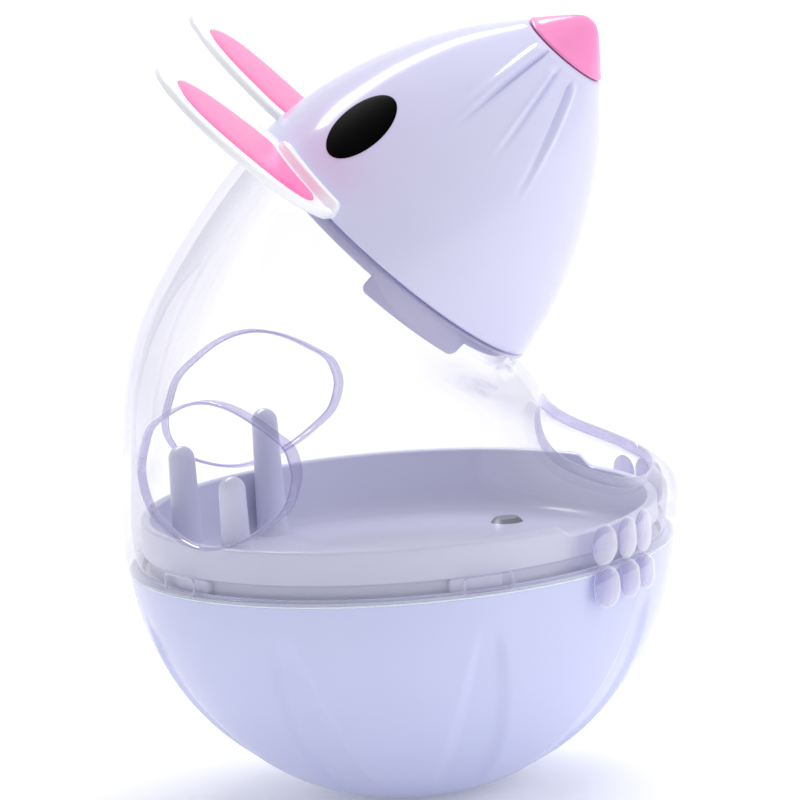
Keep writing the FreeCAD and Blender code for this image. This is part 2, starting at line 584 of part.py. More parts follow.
# the pockets are the parts of the oval tools that lie outside the pocket floor
head_pocket_one = cut("head_pocket_one", head_drilled, cut("eye_pocket_left", eye_tools[0], head_mid))
head_shell = neck_frame(cut("head_shell", head_pocket_one, cut("eye_pocket_right", eye_tools[1], head_mid)))
parts_eyes = [neck_frame(e) for e in eye_pieces]

# ears: broad oval plates in the plane of the neck, with a low wall where they
# meet the head, and a let-in pink oval


def oval(name, shape_pts, half_l, half_w, low, thick, side):
    """A flat piece with a smooth outline about the ear's middle, extruded along the neck axis."""
    curve = Part.BSplineCurve()
    curve.interpolate([V(q("ear_x").val + a * half_l.val, side * (q("ear_y").val + b * half_w.val), 0)
                       for a, b in shape_pts], True)
    w = doc.addObject("Part::Feature", name + "_outline")
    w.Shape = Part.Wire([curve.toShape()])
    w.Placement = FreeCAD.Placement(V(0, 0, low.val), FreeCAD.Rotation())
    e = doc.addObject("Part::Extrusion", name)
    e.Base = w
    e.DirMode = "Custom"
    e.Dir = V(0, 0, 1)
    put(e, LengthFwd=thick)
    e.Solid = True
    return e


EAR_OUTLINE = [(-1.0, 0.13), (-0.94, 0.43), (-0.80, 0.67), (-0.58, 0.87), (-0.32, 0.98), (-0.03, 1.0),
               (0.26, 0.94), (0.53, 0.81), (0.75, 0.61), (0.92, 0.35), (1.0, 0.07), (0.95, -0.27),
               (0.78, -0.66), (0.49, -0.92), (0.22, -1.0), (0.0, -0.975), (-0.22, -0.88), (-0.46, -0.73),
               (-0.69, -0.52), (-0.86, -0.26), (-0.97, -0.05)]
INLAY_OUTLINE = [(-1.0, 0.13), (-0.92, 0.55), (-0.70, 0.87), (-0.36, 1.0), (0.0, 1.0), (0.38, 0.94),
                 (0.68, 0.82), (0.91, 0.58), (1.0, 0.25), (0.97, -0.15), (0.75, -0.62), (0.45, -0.90),
                 (0.15, -0.97), (-0.15, -0.87), (-0.48, -0.70), (-0.77, -0.45), (-0.94, -0.18)]
ears, inlays = [], []
for tag, side in (("left", 1), ("right", -1)):
    low, th = q("ear_low"), q("ear_thickness")
    hl, hw = q("ear_half_length"), q("ear_half_width")
    il, iw = q("inlay_half_length"), q("inlay_half_width")
    blade = oval("ear_blade_" + tag, EAR_OUTLINE, hl, hw, low, th, side)
    root = doc.addObject("Part::Cylinder", "ear_root_" + tag)
    put(root, Radius=q("ear_root_radius"), Height=q("ear_root_high") - low, Angle=q("ear_root_half") * 2)
    mid = 180 - side * q("ear_root_angle").val
    root.Placement = FreeCAD.Placement(V(0, 0, low.val), FreeCAD.Rotation(V(0, 0, 1), mid - q("ear_root_half").val))
    ear_full = fuse("ear_full_" + tag, blade, root)
    keep_off = cyl("inlay_keep_off_" + tag, q("inlay_clear_radius"), 6, pz=-1)
    pocket_raw = oval("ear_pocket_raw_" + tag, INLAY_OUTLINE, il, iw, low + th - q("inlay_depth"), 2.0, side)
    pocket = cut("ear_pocket_" + tag, pocket_raw, keep_off)
    inl_raw = oval("ear_inlay_raw_" + tag, INLAY_OUTLINE, il - 0.05, iw - 0.05, low + th - q("inlay_depth"),
                   q("inlay_depth") - q("inlay_recess"), side)
    ear_hollow = cut("ear_raw_" + tag, ear_full, pocket)
    neck_room = cyl("ear_neck_room_" + tag, q("ear_clear_radius"), q("heada_s") + 3.1, pz=-3)
    ear_fit = cut("ear_fit_" + tag, ear_hollow, head_outer)
    ears.append(neck_frame(cut("ear_" + tag, ear_fit, neck_room)))
    keep_off_b = cyl("inlay_keep_off_b_" + tag, q("inlay_clear_radius") + 0.05, 6, pz=-1)
    inlays.append(neck_frame(cut("ear_inlay_" + tag, inl_raw, keep_off_b)))

# the nose: a rounded cone with a stem in the front of the head
NB, NR, NH = q("nose_base_s"), q("nose_radius"), q("nose_height")
nose_secs = []
for k, (fs, fr) in enumerate(((0.0, 0.97), (0.06, 1.0), (0.16, 0.925), (0.44, 0.68), (0.72, 0.43), (0.90, 0.25), (1.0, 0.07))):
    c = doc.addObject("Part::Circle", "nose_ring_%d" % k)
    put(c, Radius=NR * fr, pz=NB + NH * fs)
    nose_secs.append(c)
nose_cone = loft("nose_cone", nose_secs)
nose_stem = cyl("nose_stem_pin", q("nose_stem"), 4.0, pz=NB - 3.6)
nose = neck_frame(fuse("nose", nose_cone, nose_stem))

# the disc and spigot that close the head
head_base_blank = profile_body("head_base_blank", [
    (0, q("base_disc_low")), (q("spigot_inner"), q("base_disc_low")), (q("spigot_inner"), q("spigot_low")),
    (q("spigot_outer"), q("spigot_low")), (q("spigot_outer"), q("base_disc_low")),
    (q("base_disc_radius"), q("base_disc_low")), (q("base_disc_radius"), q("base_disc_high")),
    (0, q("base_disc_high"))])
disc_holes = []
for k, a in enumerate((60, 180, 300)):
    bx, by = around(a, q("head_boss_ring"))
    disc_holes.append(cyl("disc_hole_%d" % k, PR + 0.3, 6, px=bx, py=by, pz=1))
disc_hole_set = fuse("disc_hole_set", *disc_holes)
head_base = neck_frame(cut("head_base", head_base_blank, disc_hole_set))
for k, a in enumerate((60, 180, 300)):
    s = screw("head_screw_%d" % k, 9.0)
    bx, by = around(a, q("head_boss_ring"))
    s.Placement = FreeCAD.Placement(V(0, 0, 0), FreeCAD.Rotation(V(1, 0, 0), 180))
    put(s, px=bx, py=by, pz=q("base_disc_low"))
    head_screw_list.append(s)
head_screws = doc.addObject("Part::Compound", "head_screws")
head_screws.Links = head_screw_list
neck_frame(head_screws)
parts += [head_shell, head_base, head_screws, ears[0], ears[1], inlays[0], inlays[1], parts_eyes[0], parts_eyes[1], nose]

doc.recompute()

# ------------------------------------------------------------ checks and files
bad = [o.Label for o in doc.Objects if "Invalid" in o.State or "Error" in o.State]
if bad:
    raise RuntimeError("failed objects: %s" % bad)
for p in parts:
    if p.Shape.isNull() or not p.Shape.isValid():
        raise RuntimeError("bad shape: " + p.Label)
for p in parts:
    b = p.Shape.BoundBox
    print("%-18s solids %d vol %8.0f  x %6.1f %6.1f  y %6.1f %6.1f  z %6.1f %6.1f" % (
        p.Label, len(p.Shape.Solids), p.Shape.Volume, b.XMin, b.XMax, b.YMin, b.YMax, b.ZMin, b.ZMax))
    p.Shape.exportStep("parts/%s.step" % p.Label)
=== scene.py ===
# Looks of the wobble treat dispenser: a round ballast bowl, a clear treat
# chamber with outlets and paws, and a lift-off mouse head.
import math

import bpy
import numpy as np
from mathutils import Matrix, Vector
from mathutils.geometry import delaunay_2d_cdt


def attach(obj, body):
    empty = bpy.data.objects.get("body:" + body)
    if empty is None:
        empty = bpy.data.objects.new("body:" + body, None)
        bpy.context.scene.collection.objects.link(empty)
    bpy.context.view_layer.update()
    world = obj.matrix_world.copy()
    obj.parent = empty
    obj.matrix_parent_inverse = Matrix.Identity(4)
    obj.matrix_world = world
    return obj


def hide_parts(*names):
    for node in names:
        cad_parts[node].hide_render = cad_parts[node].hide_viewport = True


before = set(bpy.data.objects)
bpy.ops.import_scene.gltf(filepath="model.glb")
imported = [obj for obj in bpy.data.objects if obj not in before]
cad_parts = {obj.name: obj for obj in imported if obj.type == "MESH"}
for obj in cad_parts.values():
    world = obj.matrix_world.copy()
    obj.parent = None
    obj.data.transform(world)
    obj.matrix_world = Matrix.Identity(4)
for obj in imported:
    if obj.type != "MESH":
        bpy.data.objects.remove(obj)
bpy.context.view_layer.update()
MM = 0.001


# ---------------------------------------------------------------- helpers
def cubic(x, y, loop=False):
    """A curve through the points with continuous curvature. A loop ends where it starts."""
    x = np.array(x, float)
    y = np.array(y, float).reshape(len(x), -1)
    n = len(x)
    h = np.diff(x)
    if loop:
        a = np.zeros((n - 1, n - 1))
        b = np.zeros((n - 1, y.shape[1]))
        for i in range(n - 1):
            hm, hp = h[i - 1], h[i]
            before = y[i - 1] if i else y[n - 2]
            a[i, (i - 1) % (n - 1)] += hm
            a[i, i] += 2 * (hm + hp)
            a[i, (i + 1) % (n - 1)] += hp
            b[i] = 6 * ((y[i + 1] - y[i]) / hp - (y[i] - before) / hm)
        m = np.linalg.solve(a, b)
        m = np.vstack([m, m[:1]])
    else:
        a = np.eye(n)
        b = np.zeros((n, y.shape[1]))
        for i in range(1, n - 1):
            a[i, i - 1], a[i, i], a[i, i + 1] = h[i - 1], 2 * (h[i - 1] + h[i]), h[i]
            b[i] = 6 * ((y[i + 1] - y[i]) / h[i] - (y[i] - y[i - 1]) / h[i - 1])
        m = np.linalg.solve(a, b)

    def at(t):
        t = np.asarray(t, float)
        if loop:
            t = (t - x[0]) % (x[-1] - x[0]) + x[0]
        k = np.clip(np.searchsorted(x, t, side="right") - 1, 0, n - 2)
        hk = h[k][..., None]
        u = (x[k + 1] - t)[..., None] / hk
        v = (t - x[k])[..., None] / hk
        return u * y[k] + v * y[k + 1] + ((u ** 3 - u) * m[k] + (v ** 3 - v) * m[k + 1]) * hk ** 2 / 6

    return at


def ease(t):
    t = np.clip(t, 0, 1)
    return t * t * (3 - 2 * t)


def outline(points, half_x, half_y, count):
    """Evenly spaced points and outward normals of a closed smooth outline."""
    p = np.array([(a * half_x, b * half_y) for a, b in points])
    p = np.vstack([p, p[:1]])
    d = np.concatenate([[0], np.cumsum(np.hypot(*np.diff(p, axis=0).T))])
    f = cubic(d, p, loop=True)
    dense = f(np.linspace(0, d[-1], 4001))
    run = np.concatenate([[0], np.cumsum(np.hypot(*np.diff(dense, axis=0).T))])
    t = np.interp(np.arange(count) * run[-1] / count, run, np.linspace(0, d[-1], 4001))
    q = f(t)
    tan = f(t + 1e-3) - f(t - 1e-3)
    nrm = np.stack([tan[:, 1], -tan[:, 0]], 1)
    nrm /= np.linalg.norm(nrm, axis=1)[:, None]
    if ((q - q.mean(0)) * nrm).sum() < 0:
        nrm = -nrm
    return q, nrm


def soften(points, radius, steps=4):
    """Rounds the inner corners of an open polyline; radius is one number or one per point."""
    p = [np.array(a, float) for a in points]
    rad = radius if hasattr(radius, "__len__") else [radius] * len(p)
    out = [p[0]]
    for i in range(1, len(p) - 1):
        a, b = p[i - 1] - p[i], p[i + 1] - p[i]
        la, lb = np.linalg.norm(a), np.linalg.norm(b)
        d = min(rad[i], 0.46 * la, 0.46 * lb)
        if d < 1e-4:
            out.append(p[i])
            continue
        s, e = p[i] + a / la * d, p[i] + b / lb * d
        for k in range(steps + 1):
            t = k / steps
            out.append((1 - t) ** 2 * s + 2 * t * (1 - t) * p[i] + t * t * e)
    out.append(p[-1])
    return np.array(out)


def strips(loops, start="open", end="open", wrap=True):
    """Quads between loops of equal length; an end may run to a point or be closed by a fan."""
    loops = [np.asarray(l, float) for l in loops]
    n = len(loops[0])
    verts = np.vstack(loops)
    faces = []
    m = n if wrap else n - 1
    for i in range(len(loops) - 1):
        a, b = i * n, (i + 1) * n
        for j in range(m):
            k = (j + 1) % n
            faces.append((a + j, a + k, b + k, b + j))
    for which, row, at in (("start", 0, start), ("end", len(loops) - 1, end)):
        if isinstance(at, str) and at == "open":
            continue
        c = loops[row].mean(0) if isinstance(at, str) else np.asarray(at, float)
        idx = len(verts)
        verts = np.vstack([verts, c[None]])
        for j in range(n):
            k = (j + 1) % n
            a, b = row * n + j, row * n + k
            faces.append((a, idx, b) if which == "start" else (a, b, idx))
    return verts, faces


def lathe(profile, count=192, move=None, start="open", end="open"):
    """Turns (radius, height) points about the vertical axis. A radius of 0 at an end is a point."""
    profile = [tuple(p) for p in profile]
    ang = np.arange(count) * 2 * math.pi / count
    lo = hi = None
    if profile[0][0] < 1e-6:
        lo = np.array([0, 0, profile[0][1]])
        profile = profile[1:]
    if profile[-1][0] < 1e-6:
        hi = np.array([0, 0, profile[-1][1]])
        profile = profile[:-1]
    loops = [np.stack([r * np.cos(ang), r * np.sin(ang), np.full(count, z)], 1) for r, z in profile]
    if move is not None:
        loops = [move(l, i) for i, l in enumerate(loops)]
    return strips(loops, start if lo is None else lo, end if hi is None else hi)


def merge(*parts):
    verts, faces, base = [], [], 0
    for v, f in parts:
        verts.append(np.asarray(v, float))
        faces += [tuple(i + base for i in t) for t in f]
        base += len(v)
    return np.vstack(verts), faces


def ring_tube(rows):
    """Closes a list of loops on itself, so that a section swept round has no open edge."""
    rows = [np.asarray(r, float) for r in rows]
    n = len(rows[0])
    verts = np.vstack(rows)
    faces = []
    for i in range(len(rows)):
        a, b = i * n, ((i + 1) % len(rows)) * n
        for j in range(n):
            k = (j + 1) % n
            faces.append((a + j, a + k, b + k, b + j))
    return verts, faces


def area_normals(verts, faces):
    n = np.zeros_like(verts)
    tri, who = [], []
    for f in faces:
        for k in range(1, len(f) - 1):
            tri.append((f[0], f[k], f[k + 1]))
    tri = np.array(tri)
    c = np.cross(verts[tri[:, 1]] - verts[tri[:, 0]], verts[tri[:, 2]] - verts[tri[:, 0]])
    for k in range(3):
        np.add.at(n, tri[:, k], c)
    length = np.linalg.norm(n, axis=1)
    length[length < 1e-12] = 1
    return n / length[:, None]


def volume(verts, faces):
    total = 0.0
    for f in faces:
        for k in range(1, len(f) - 1):
            total += float(np.dot(verts[f[0]], np.cross(verts[f[k]], verts[f[k + 1]])))
    return total


def make(name, part, mats, body, stands_for=(), normals=None, which=None, outward=True):
    """One piece from (vertices in mm, faces), smooth shaded, riding on a body."""
    verts, faces = part
    verts = np.asarray(verts, float)
    if outward and volume(verts, faces) < 0:
        faces = [tuple(reversed(f)) for f in faces]
    me = bpy.data.meshes.new(name)
    me.from_pydata([tuple(v) for v in verts * MM], [], faces)
    me.polygons.foreach_set("use_smooth", [True] * len(me.polygons))
    for m in mats if isinstance(mats, (list, tuple)) else [mats]:
        me.materials.append(m)
    if which is not None:
        me.polygons.foreach_set("material_index", which)
    me.update()
    auto = area_normals(verts, faces)
    if normals is not None:
        keep = np.isnan(normals[:, 0])
        normals = np.where(keep[:, None], auto, normals)
    else:
        normals = auto
    me.normals_split_custom_set_from_vertices([tuple(v) for v in normals])
    o = bpy.data.objects.new(name, me)
    bpy.context.scene.collection.objects.link(o)
    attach(o, body)
    if stands_for:
        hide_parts(*stands_for)
    return o


Q = math.sqrt(0.5)
NECK = np.array([2.3, 0, 85.5])
NX, NY, NS = np.array([Q, 0, -Q]), np.array([0, 1.0, 0]), np.array([Q, 0, Q])


def neck(part):
    """From the neck's own frame (x to the front-low side, y, s along the neck) to the row frame."""
    v, f = part
    v = np.asarray(v, float)
    return NECK + v[:, :1] * NX + v[:, 1:2] * NY + v[:, 2:3] * NS, f


# ---------------------------------------------------------------- materials
def srgb(*c):
    return tuple((x / 12.92 if x <= 0.04045 else ((x + 0.055) / 1.055) ** 2.4) for x in c) + (1.0,)


def tree(name):
    m = bpy.data.materials.new(name)
    m.use_nodes = True
    t = m.node_tree
    t.nodes.clear()
    return m, t, t.nodes.new("ShaderNodeOutputMaterial")


def noise(t, scale, detail=3.0, rough=0.5):
    coord = t.nodes.new("ShaderNodeTexCoord")
    n = t.nodes.new("ShaderNodeTexNoise")
    n.inputs["Scale"].default_value = scale
    n.inputs["Detail"].default_value = detail
    n.inputs["Roughness"].default_value = rough
    t.links.new(coord.outputs["Object"], n.inputs["Vector"])
    return n.outputs["Fac"]


def blend_colors(t, fac, a, b):
    m = t.nodes.new("ShaderNodeMix")
    m.data_type = "RGBA"
    m.inputs["A"].default_value = a
    m.inputs["B"].default_value = b
    t.links.new(fac, m.inputs["Factor"])
    return m.outputs["Result"]


def plastic(name, a, b, rough, bump=0.02, coat=0.0, sub=0.0, grain=45.0, spec=0.5):
    """Moulded plastic: two close tones in slow cloudy patches, and a very fine skin texture."""
    m, t, out = tree(name)
    p = t.nodes.new("ShaderNodeBsdfPrincipled")
    t.links.new(blend_colors(t, noise(t, grain), a, b), p.inputs["Base Color"])
    p.inputs["Roughness"].default_value = rough
    p.inputs["Specular IOR Level"].default_value = spec
    p.inputs["Coat Weight"].default_value = coat
    p.inputs["Coat Roughness"].default_value = 0.06
    if sub:
        p.inputs["Subsurface Weight"].default_value = sub
        p.inputs["Subsurface Scale"].default_value = 0.002
    if bump:
        bp = t.nodes.new("ShaderNodeBump")
        bp.inputs["Strength"].default_value = bump
        bp.inputs["Distance"].default_value = 0.0002
        t.links.new(noise(t, 1400.0, 2.0), bp.inputs["Height"])
        t.links.new(bp.outputs["Normal"], p.inputs["Normal"])
    t.links.new(p.outputs["BSDF"], out.inputs["Surface"])
    return m


def clear_plastic(name, face, edge, power, gloss=1.0, rough=0.03, haze=0.03, haze_color=(0.9, 0.9, 0.97, 1), floor_share=0.035):
    """A clear thin wall: it lets light straight through, tints where it is seen on edge, and mirrors by its index."""
    m, t, out = tree(name)
    lw = t.nodes.new("ShaderNodeLayerWeight")
    lw.inputs["Blend"].default_value = 0.5
    pw = t.nodes.new("ShaderNodeMath")
    pw.operation = "POWER"
    pw.inputs[1].default_value = power
    t.links.new(lw.outputs["Facing"], pw.inputs[0])
    cloudy = blend_colors(t, noise(t, 30.0), face, tuple(c * 0.985 for c in face[:3]) + (1,))
    mix = t.nodes.new("ShaderNodeMix")
    mix.data_type = "RGBA"
    t.links.new(pw.outputs[0], mix.inputs["Factor"])
    t.links.new(cloudy, mix.inputs["A"])
    mix.inputs["B"].default_value = edge
    tr = t.nodes.new("ShaderNodeBsdfTransparent")
    t.links.new(mix.outputs["Result"], tr.inputs["Color"])
    df = t.nodes.new("ShaderNodeBsdfDiffuse")
    df.inputs["Color"].default_value = haze_color
    hz = t.nodes.new("ShaderNodeMixShader")
    hz.inputs["Fac"].default_value = haze
    t.links.new(tr.outputs[0], hz.inputs[1])
    t.links.new(df.outputs[0], hz.inputs[2])
    gl = t.nodes.new("ShaderNodeBsdfGlossy")
    gl.inputs["Roughness"].default_value = rough
    gl.inputs["Color"].default_value = (gloss, gloss, gloss, 1)
    # mirror share by angle, the same from either side of the wall
    p5 = t.nodes.new("ShaderNodeMath")
    p5.operation = "POWER"
    p5.inputs[1].default_value = 4.5
    t.links.new(lw.outputs["Facing"], p5.inputs[0])
    fr = t.nodes.new("ShaderNodeMath")
    fr.operation = "MULTIPLY_ADD"
    fr.inputs[1].default_value = 0.9
    fr.inputs[2].default_value = floor_share
    t.links.new(p5.outputs[0], fr.inputs[0])
    ms = t.nodes.new("ShaderNodeMixShader")
    t.links.new(fr.outputs[0], ms.inputs["Fac"])
    t.links.new(hz.outputs[0], ms.inputs[1])
    t.links.new(gl.outputs[0], ms.inputs[2])
    t.links.new(ms.outputs[0], out.inputs["Surface"])
    return m


def clear_thick(name, tint, glow, base_share, edge_share, power, mirror=0.08, rough=0.05):
    """A thick clear part: tinted seen straight on, and bright along its outline where it gathers light."""
    m, t, out = tree(name)
    lw = t.nodes.new("ShaderNodeLayerWeight")
    lw.inputs["Blend"].default_value = 0.5
    pw = t.nodes.new("ShaderNodeMath")
    pw.operation = "POWER"
    pw.inputs[1].default_value = power
    t.links.new(lw.outputs["Facing"], pw.inputs[0])
    share = t.nodes.new("ShaderNodeMath")
    share.operation = "MULTIPLY_ADD"
    share.inputs[1].default_value = edge_share
    share.inputs[2].default_value = base_share
    t.links.new(pw.outputs[0], share.inputs[0])
    tr = t.nodes.new("ShaderNodeBsdfTransparent")
    t.links.new(blend_colors(t, noise(t, 90.0), tint, tuple(c * 0.95 for c in tint[:3]) + (1,)), tr.inputs["Color"])
    df = t.nodes.new("ShaderNodeBsdfDiffuse")
    df.inputs["Color"].default_value = glow
    mx = t.nodes.new("ShaderNodeMixShader")
    t.links.new(share.outputs[0], mx.inputs["Fac"])
    t.links.new(tr.outputs[0], mx.inputs[1])
    t.links.new(df.outputs[0], mx.inputs[2])
    gl = t.nodes.new("ShaderNodeBsdfGlossy")
    gl.inputs["Roughness"].default_value = rough
    gl.inputs["Color"].default_value = (1, 1, 1, 1)
    ms = t.nodes.new("ShaderNodeMixShader")
    ms.inputs["Fac"].default_value = mirror
    t.links.new(mx.outputs[0], ms.inputs[1])
    t.links.new(gl.outputs[0], ms.inputs[2])
    t.links.new(ms.outputs[0], out.inputs["Surface"])
    return m


def metal(name, a, b, rough):
    m, t, out = tree(name)
    p = t.nodes.new("ShaderNodeBsdfPrincipled")
    p.inputs["Metallic"].default_value = 1.0
    p.inputs["Roughness"].default_value = rough
    t.links.new(blend_colors(t, noise(t, 160.0), a, b), p.inputs["Base Color"])
    t.links.new(p.outputs["BSDF"], out.inputs["Surface"])
    return m


BOWL = plastic("bowl_white", srgb(.825, .84, .965), srgb(.80, .82, .955), 0.2)
TRAY = plastic("tray_white", srgb(.86, .86, .94), srgb(.84, .84, .925), 0.30)
HEAD = plastic("head_white", srgb(.875, .873, .975), srgb(.855, .852, .965), 0.13)
EAR = plastic("ear_white", srgb(.985, .99, 1.0), srgb(.975, .98, 1.0), 0.2)
RING = plastic("ring_lavender", srgb(.80, .79, .90), srgb(.77, .76, .88), 0.28)
PINK = plastic("inset_pink", srgb(1.0, .50, .73), srgb(.99, .47, .71), 0.32, spec=0.35)
NOSE = plastic("nose_pink", srgb(1.0, .60, .81), srgb(.99, .57, .79), 0.22)
BLACK = plastic("eye_black", srgb(.015, .015, .02), srgb(.03, .03, .035), 0.5, bump=0.01, spec=0.02)
CLEAR = clear_plastic("dome_clear", (0.985, 0.984, 0.99, 1), (0.70, 0.69, 0.80, 1), 3.6, haze=0.02)
EDGE = clear_thick("dome_edge", (0.60, 0.57, 0.79, 1), (0.93, 0.93, 1.0, 1), 0.14, 0.62, 2.2, mirror=0.10)
PAW = clear_thick("paw_clear", (0.78, 0.76, 0.92, 1), (1.0, 1.0, 1.0, 1), 0.06, 0.95, 1.5, mirror=0.14)
LIP = clear_thick("seam_lip", (0.95, 0.95, 0.98, 1), (1.0, 1.0, 1.0, 1), 0.20, 0.30, 2.0, mirror=0.06)
# painted highlight: a whiter tone than the bowl, for the seam ring that stands in for the bright line of light along
# the seam
SEAM_HIGHLIGHT_WHITE = plastic("seam_painted_highlight", srgb(.985, .985, 1.0), srgb(.97, .97, 1.0), 0.25, sub=0.4)
STEEL = metal("slug_steel", srgb(.62, .62, .64), srgb(.56, .56, .58), 0.35)

# ---------------------------------------------------------------- bowl
R, CZ, SEAM = 42.3, 41.5, 37.5


def sphere_r(z, radius=R):
    return math.sqrt(max(radius ** 2 - (z - CZ) ** 2, 0))


lat = np.radians(np.linspace(78.9, 6.6, 92))
bowl_profile = [(0, 0.0), (3.0, 0.0), (6.0, 0.0), (7.6, 0.0)]
bowl_profile += [(R * math.cos(a), CZ - R * math.sin(a)) for a in lat[1:]]
edge = soften([(sphere_r(37.0), 37.0), (sphere_r(SEAM), SEAM), (40.5, SEAM), (40.5, 38.35), (40.12, 38.35), (40.12, 37.0),
               (sphere_r(36.6, 40.3), 36.6)], [0, .2, .15, .15, .15, .2, 0], 5)
n_outer = len(bowl_profile)
bowl_profile += [tuple(p) for p in edge]
inner = np.radians(np.linspace(8.5, 88.0, 36))
bowl_profile += [(40.3 * math.cos(a), CZ - 40.3 * math.sin(a)) for a in inner]
bowl_profile.append((0, CZ - 40.3))


def flute(loop, i):
    """Eight shallow wedge-shaped flutes, narrow above and wide below, fading out at both ends."""
    if i + 1 >= n_outer + 2:
        return loop
    a = np.degrees(np.arctan2(loop[:, 1], loop[:, 0]))
    low = math.degrees(math.asin(min(1, max(-1, (CZ - loop[0, 2]) / R))))
    d = np.abs((a - 22.5 + 22.5) % 45 - 22.5)
    half = np.interp(low, [10, 16, 32, 50, 64], [2.2, 3.6, 7.4, 11.0, 14.0])
    across = ease((1 - d / half) * 1.9)
    along = float(ease((low - 11) / 9.0) * ease((68 - low) / 16.0))
    depth = 0.72 * across * along
    n = loop - np.array([0, 0, CZ])
    n /= np.linalg.norm(n, axis=1)[:, None]
    return loop - n * depth[:, None]


bowl = lathe(bowl_profile, 480, move=flute)
ang = np.arange(480) * 2 * math.pi / 480
# thin white ring on the bowl's rim just under the dome's edge: a painted highlight standing in for the bright line of
# light along the seam, which also covers the dark gap there
highlight_bead_rows = [np.stack([(42.02 + 0.15 * math.cos(b)) * np.cos(ang), (42.02 + 0.15 * math.cos(b)) * np.sin(ang), np.full(480, 37.60 + 0.15 * math.sin(b))], 1)
             for b in np.arange(12) * 2 * math.pi / 12]
make("seam_highlight_bead", ring_tube(highlight_bead_rows), SEAM_HIGHLIGHT_WHITE, "base")
bosses = []
for k in range(3):
    a = math.radians(60 + 120 * k)
    v, f = lathe(soften([(0, 12), (3.2, 12), (3.2, 33.75), (1.3, 33.75), (1.3, 22), (0, 22)], [0, 0, .3, .2, .1, 0], 3), 40)
    v = v + np.array([29 * math.cos(a), 29 * math.sin(a), 0])
    foot = v[:, 2] < 12.5
    v[foot, 2] = CZ - np.sqrt(41.2 ** 2 - v[foot, 0] ** 2 - v[foot, 1] ** 2)
    bosses.append((v, f))
v, f = lathe(soften([(0, 1.6), (3, 1.6), (3, 8), (1.25, 8), (1.25, 3.4), (0, 3.4)], [0, 0, .3, .2, .1, 0], 3), 40)
bosses.append((v, f))
make("bowl", merge(bowl, *bosses), BOWL, "base", ["base_bowl"])

# ---------------------------------------------------------------- tray
tray_pts = [(0, 34), (39.3, 34), (39.8, 36.4), (39.8, 37.5), (38.9, 37.7), (38.9, 40.2), (39.9, 40.4), (39.9, 45.3),
            (39.6, 45.6), (38.7, 45.6), (38.4, 45.3), (38.4, 38.8), (37.8, 36.9), (36.2, 35.95), (33.4, 35.8),
            (22, 36.3), (12, 37.8), (4, 38.4), (0, 38.4)]
tray_rad = [0, .4, .3, .2, .25, .3, .2, .15, .35, .35, .15, 2.0, 1.4, 1.6, 3, 6, 6, 3, 0]
tray_prof = soften(tray_pts, tray_rad, 5)


def wedge(loop, i):
    """The collar steps down at the front."""
    z = loop[0, 2]
    if z < 41.2:
        return loop
    share = min(1, (z - 41.2) / (45.6 - 41.2))
    x = loop[:, 0]
    drop = 1.8 * ease((x - 25.9) / 2.6)
    out = loop.copy()
    out[:, 2] -= drop * share
    return out


tray = lathe(tray_prof, 360, move=wedge)
posts = []
for x, y in ((-22.6, 27.4), (-22.6, -27.4), (-33.0, 0.0)):
    ball = [(2.05 * math.cos(a), 53.8 + 2.05 * math.sin(a)) for a in np.linspace(0, math.pi / 2, 12)]
    v, f = lathe([(0, 35.0), (3.4, 35.0), (3.0, 35.9), (2.62, 36.5), (2.44, 37.4)] + [(2.4 - 0.35 * k / 8, 38 + 15.8 * k / 8) for k in range(8)] + ball, 48)
    posts.append((v + np.array([x, y, 0]), f))


def pad(mid, half, r0, r1, z0, z1, soft=0.45, n=24):
    """A rounded key on the tray's ring: a closed block bent round the axis."""
    sec = soften([(r0, z0), (r1, z0), (r1, z1), (r0, z1)] , [0, soft, soft, 0], 5)
    sec = np.vstack([sec, [[r0 - 0.01, (z0 + z1) / 2]]])
    c = np.array([(r0 + r1) / 2, (z0 + z1) / 2])
    rows = []
    for t in np.linspace(-1, 1, n):
        a = math.radians(mid) + half * t / 39.2
        e = (1 - abs(t)) * half
        k = 1 if e >= soft else math.sqrt(max(1e-3, 1 - (1 - e / soft) ** 2))
        s = c + (sec - c) * np.array([1, 1]) * (1 - (1 - k) * soft / (z1 - z0) * 2)
        rows.append(np.stack([s[:, 0] * math.cos(a), s[:, 0] * math.sin(a), s[:, 1]], 1))
    return strips(rows, "fan", "fan")


keys = [pad(a, 4.2, 38.5, 39.9, 37.9, 40.4) for a in (139, -139, 69, -69)]
make("tray", merge(tray, *posts, *keys), TRAY, "base", ["treat_tray"])

# ---------------------------------------------------------------- dome
SECTIONS = [(0, 37.8, 0, 42.5, 42.52), (0, 41.5, 0, 42.99, 43.0), (-0.05, 48.3, 2.28, 42.68, 42.8),
            (-1.55, 52.85, 5.14, 40.72, 41.7), (-5.6, 60.04, 10.43, 35.69, 38.5), (-6.1, 68.45, 18.0, 31.85, 34.8),
            (-3.35, 76.05, 29.1, 28.9, 30.5), (0.956, 84.156, 45, 26.29, 26.3), (2.654, 85.854, 45, 26.19, 26.2)]
S = np.array(SECTIONS, float)
W = np.concatenate([[0], np.cumsum(np.hypot(np.diff(S[:, 0]), np.diff(S[:, 1])))])
section = cubic(W, S)
TOP = W[-1]
WALL = 1.7


def outer(w, f):
    c = section(w)
    t = np.radians(c[..., 2])
    x = c[..., 0] + c[..., 3] * np.cos(f) * np.cos(t)
    y = c[..., 4] * np.sin(f)
    z = c[..., 1] - c[..., 3] * np.cos(f) * np.sin(t)
    return np.stack([x, y, z], -1)


def outer_normal(w, f):
    h = 1e-3
    a = outer(w, f + h) - outer(w, f - h)
    b = outer(w + h, f) - outer(w - h, f)
    n = np.cross(a, b)
    return n / np.linalg.norm(n, axis=-1, keepdims=True)


def inner_skin(w, f):
    wall = np.interp(w, [0, W[6], W[7], TOP], [WALL, WALL, 1.62, 1.6])
    return outer(w, f) - outer_normal(w, f) * np.asarray(wall)[..., None]


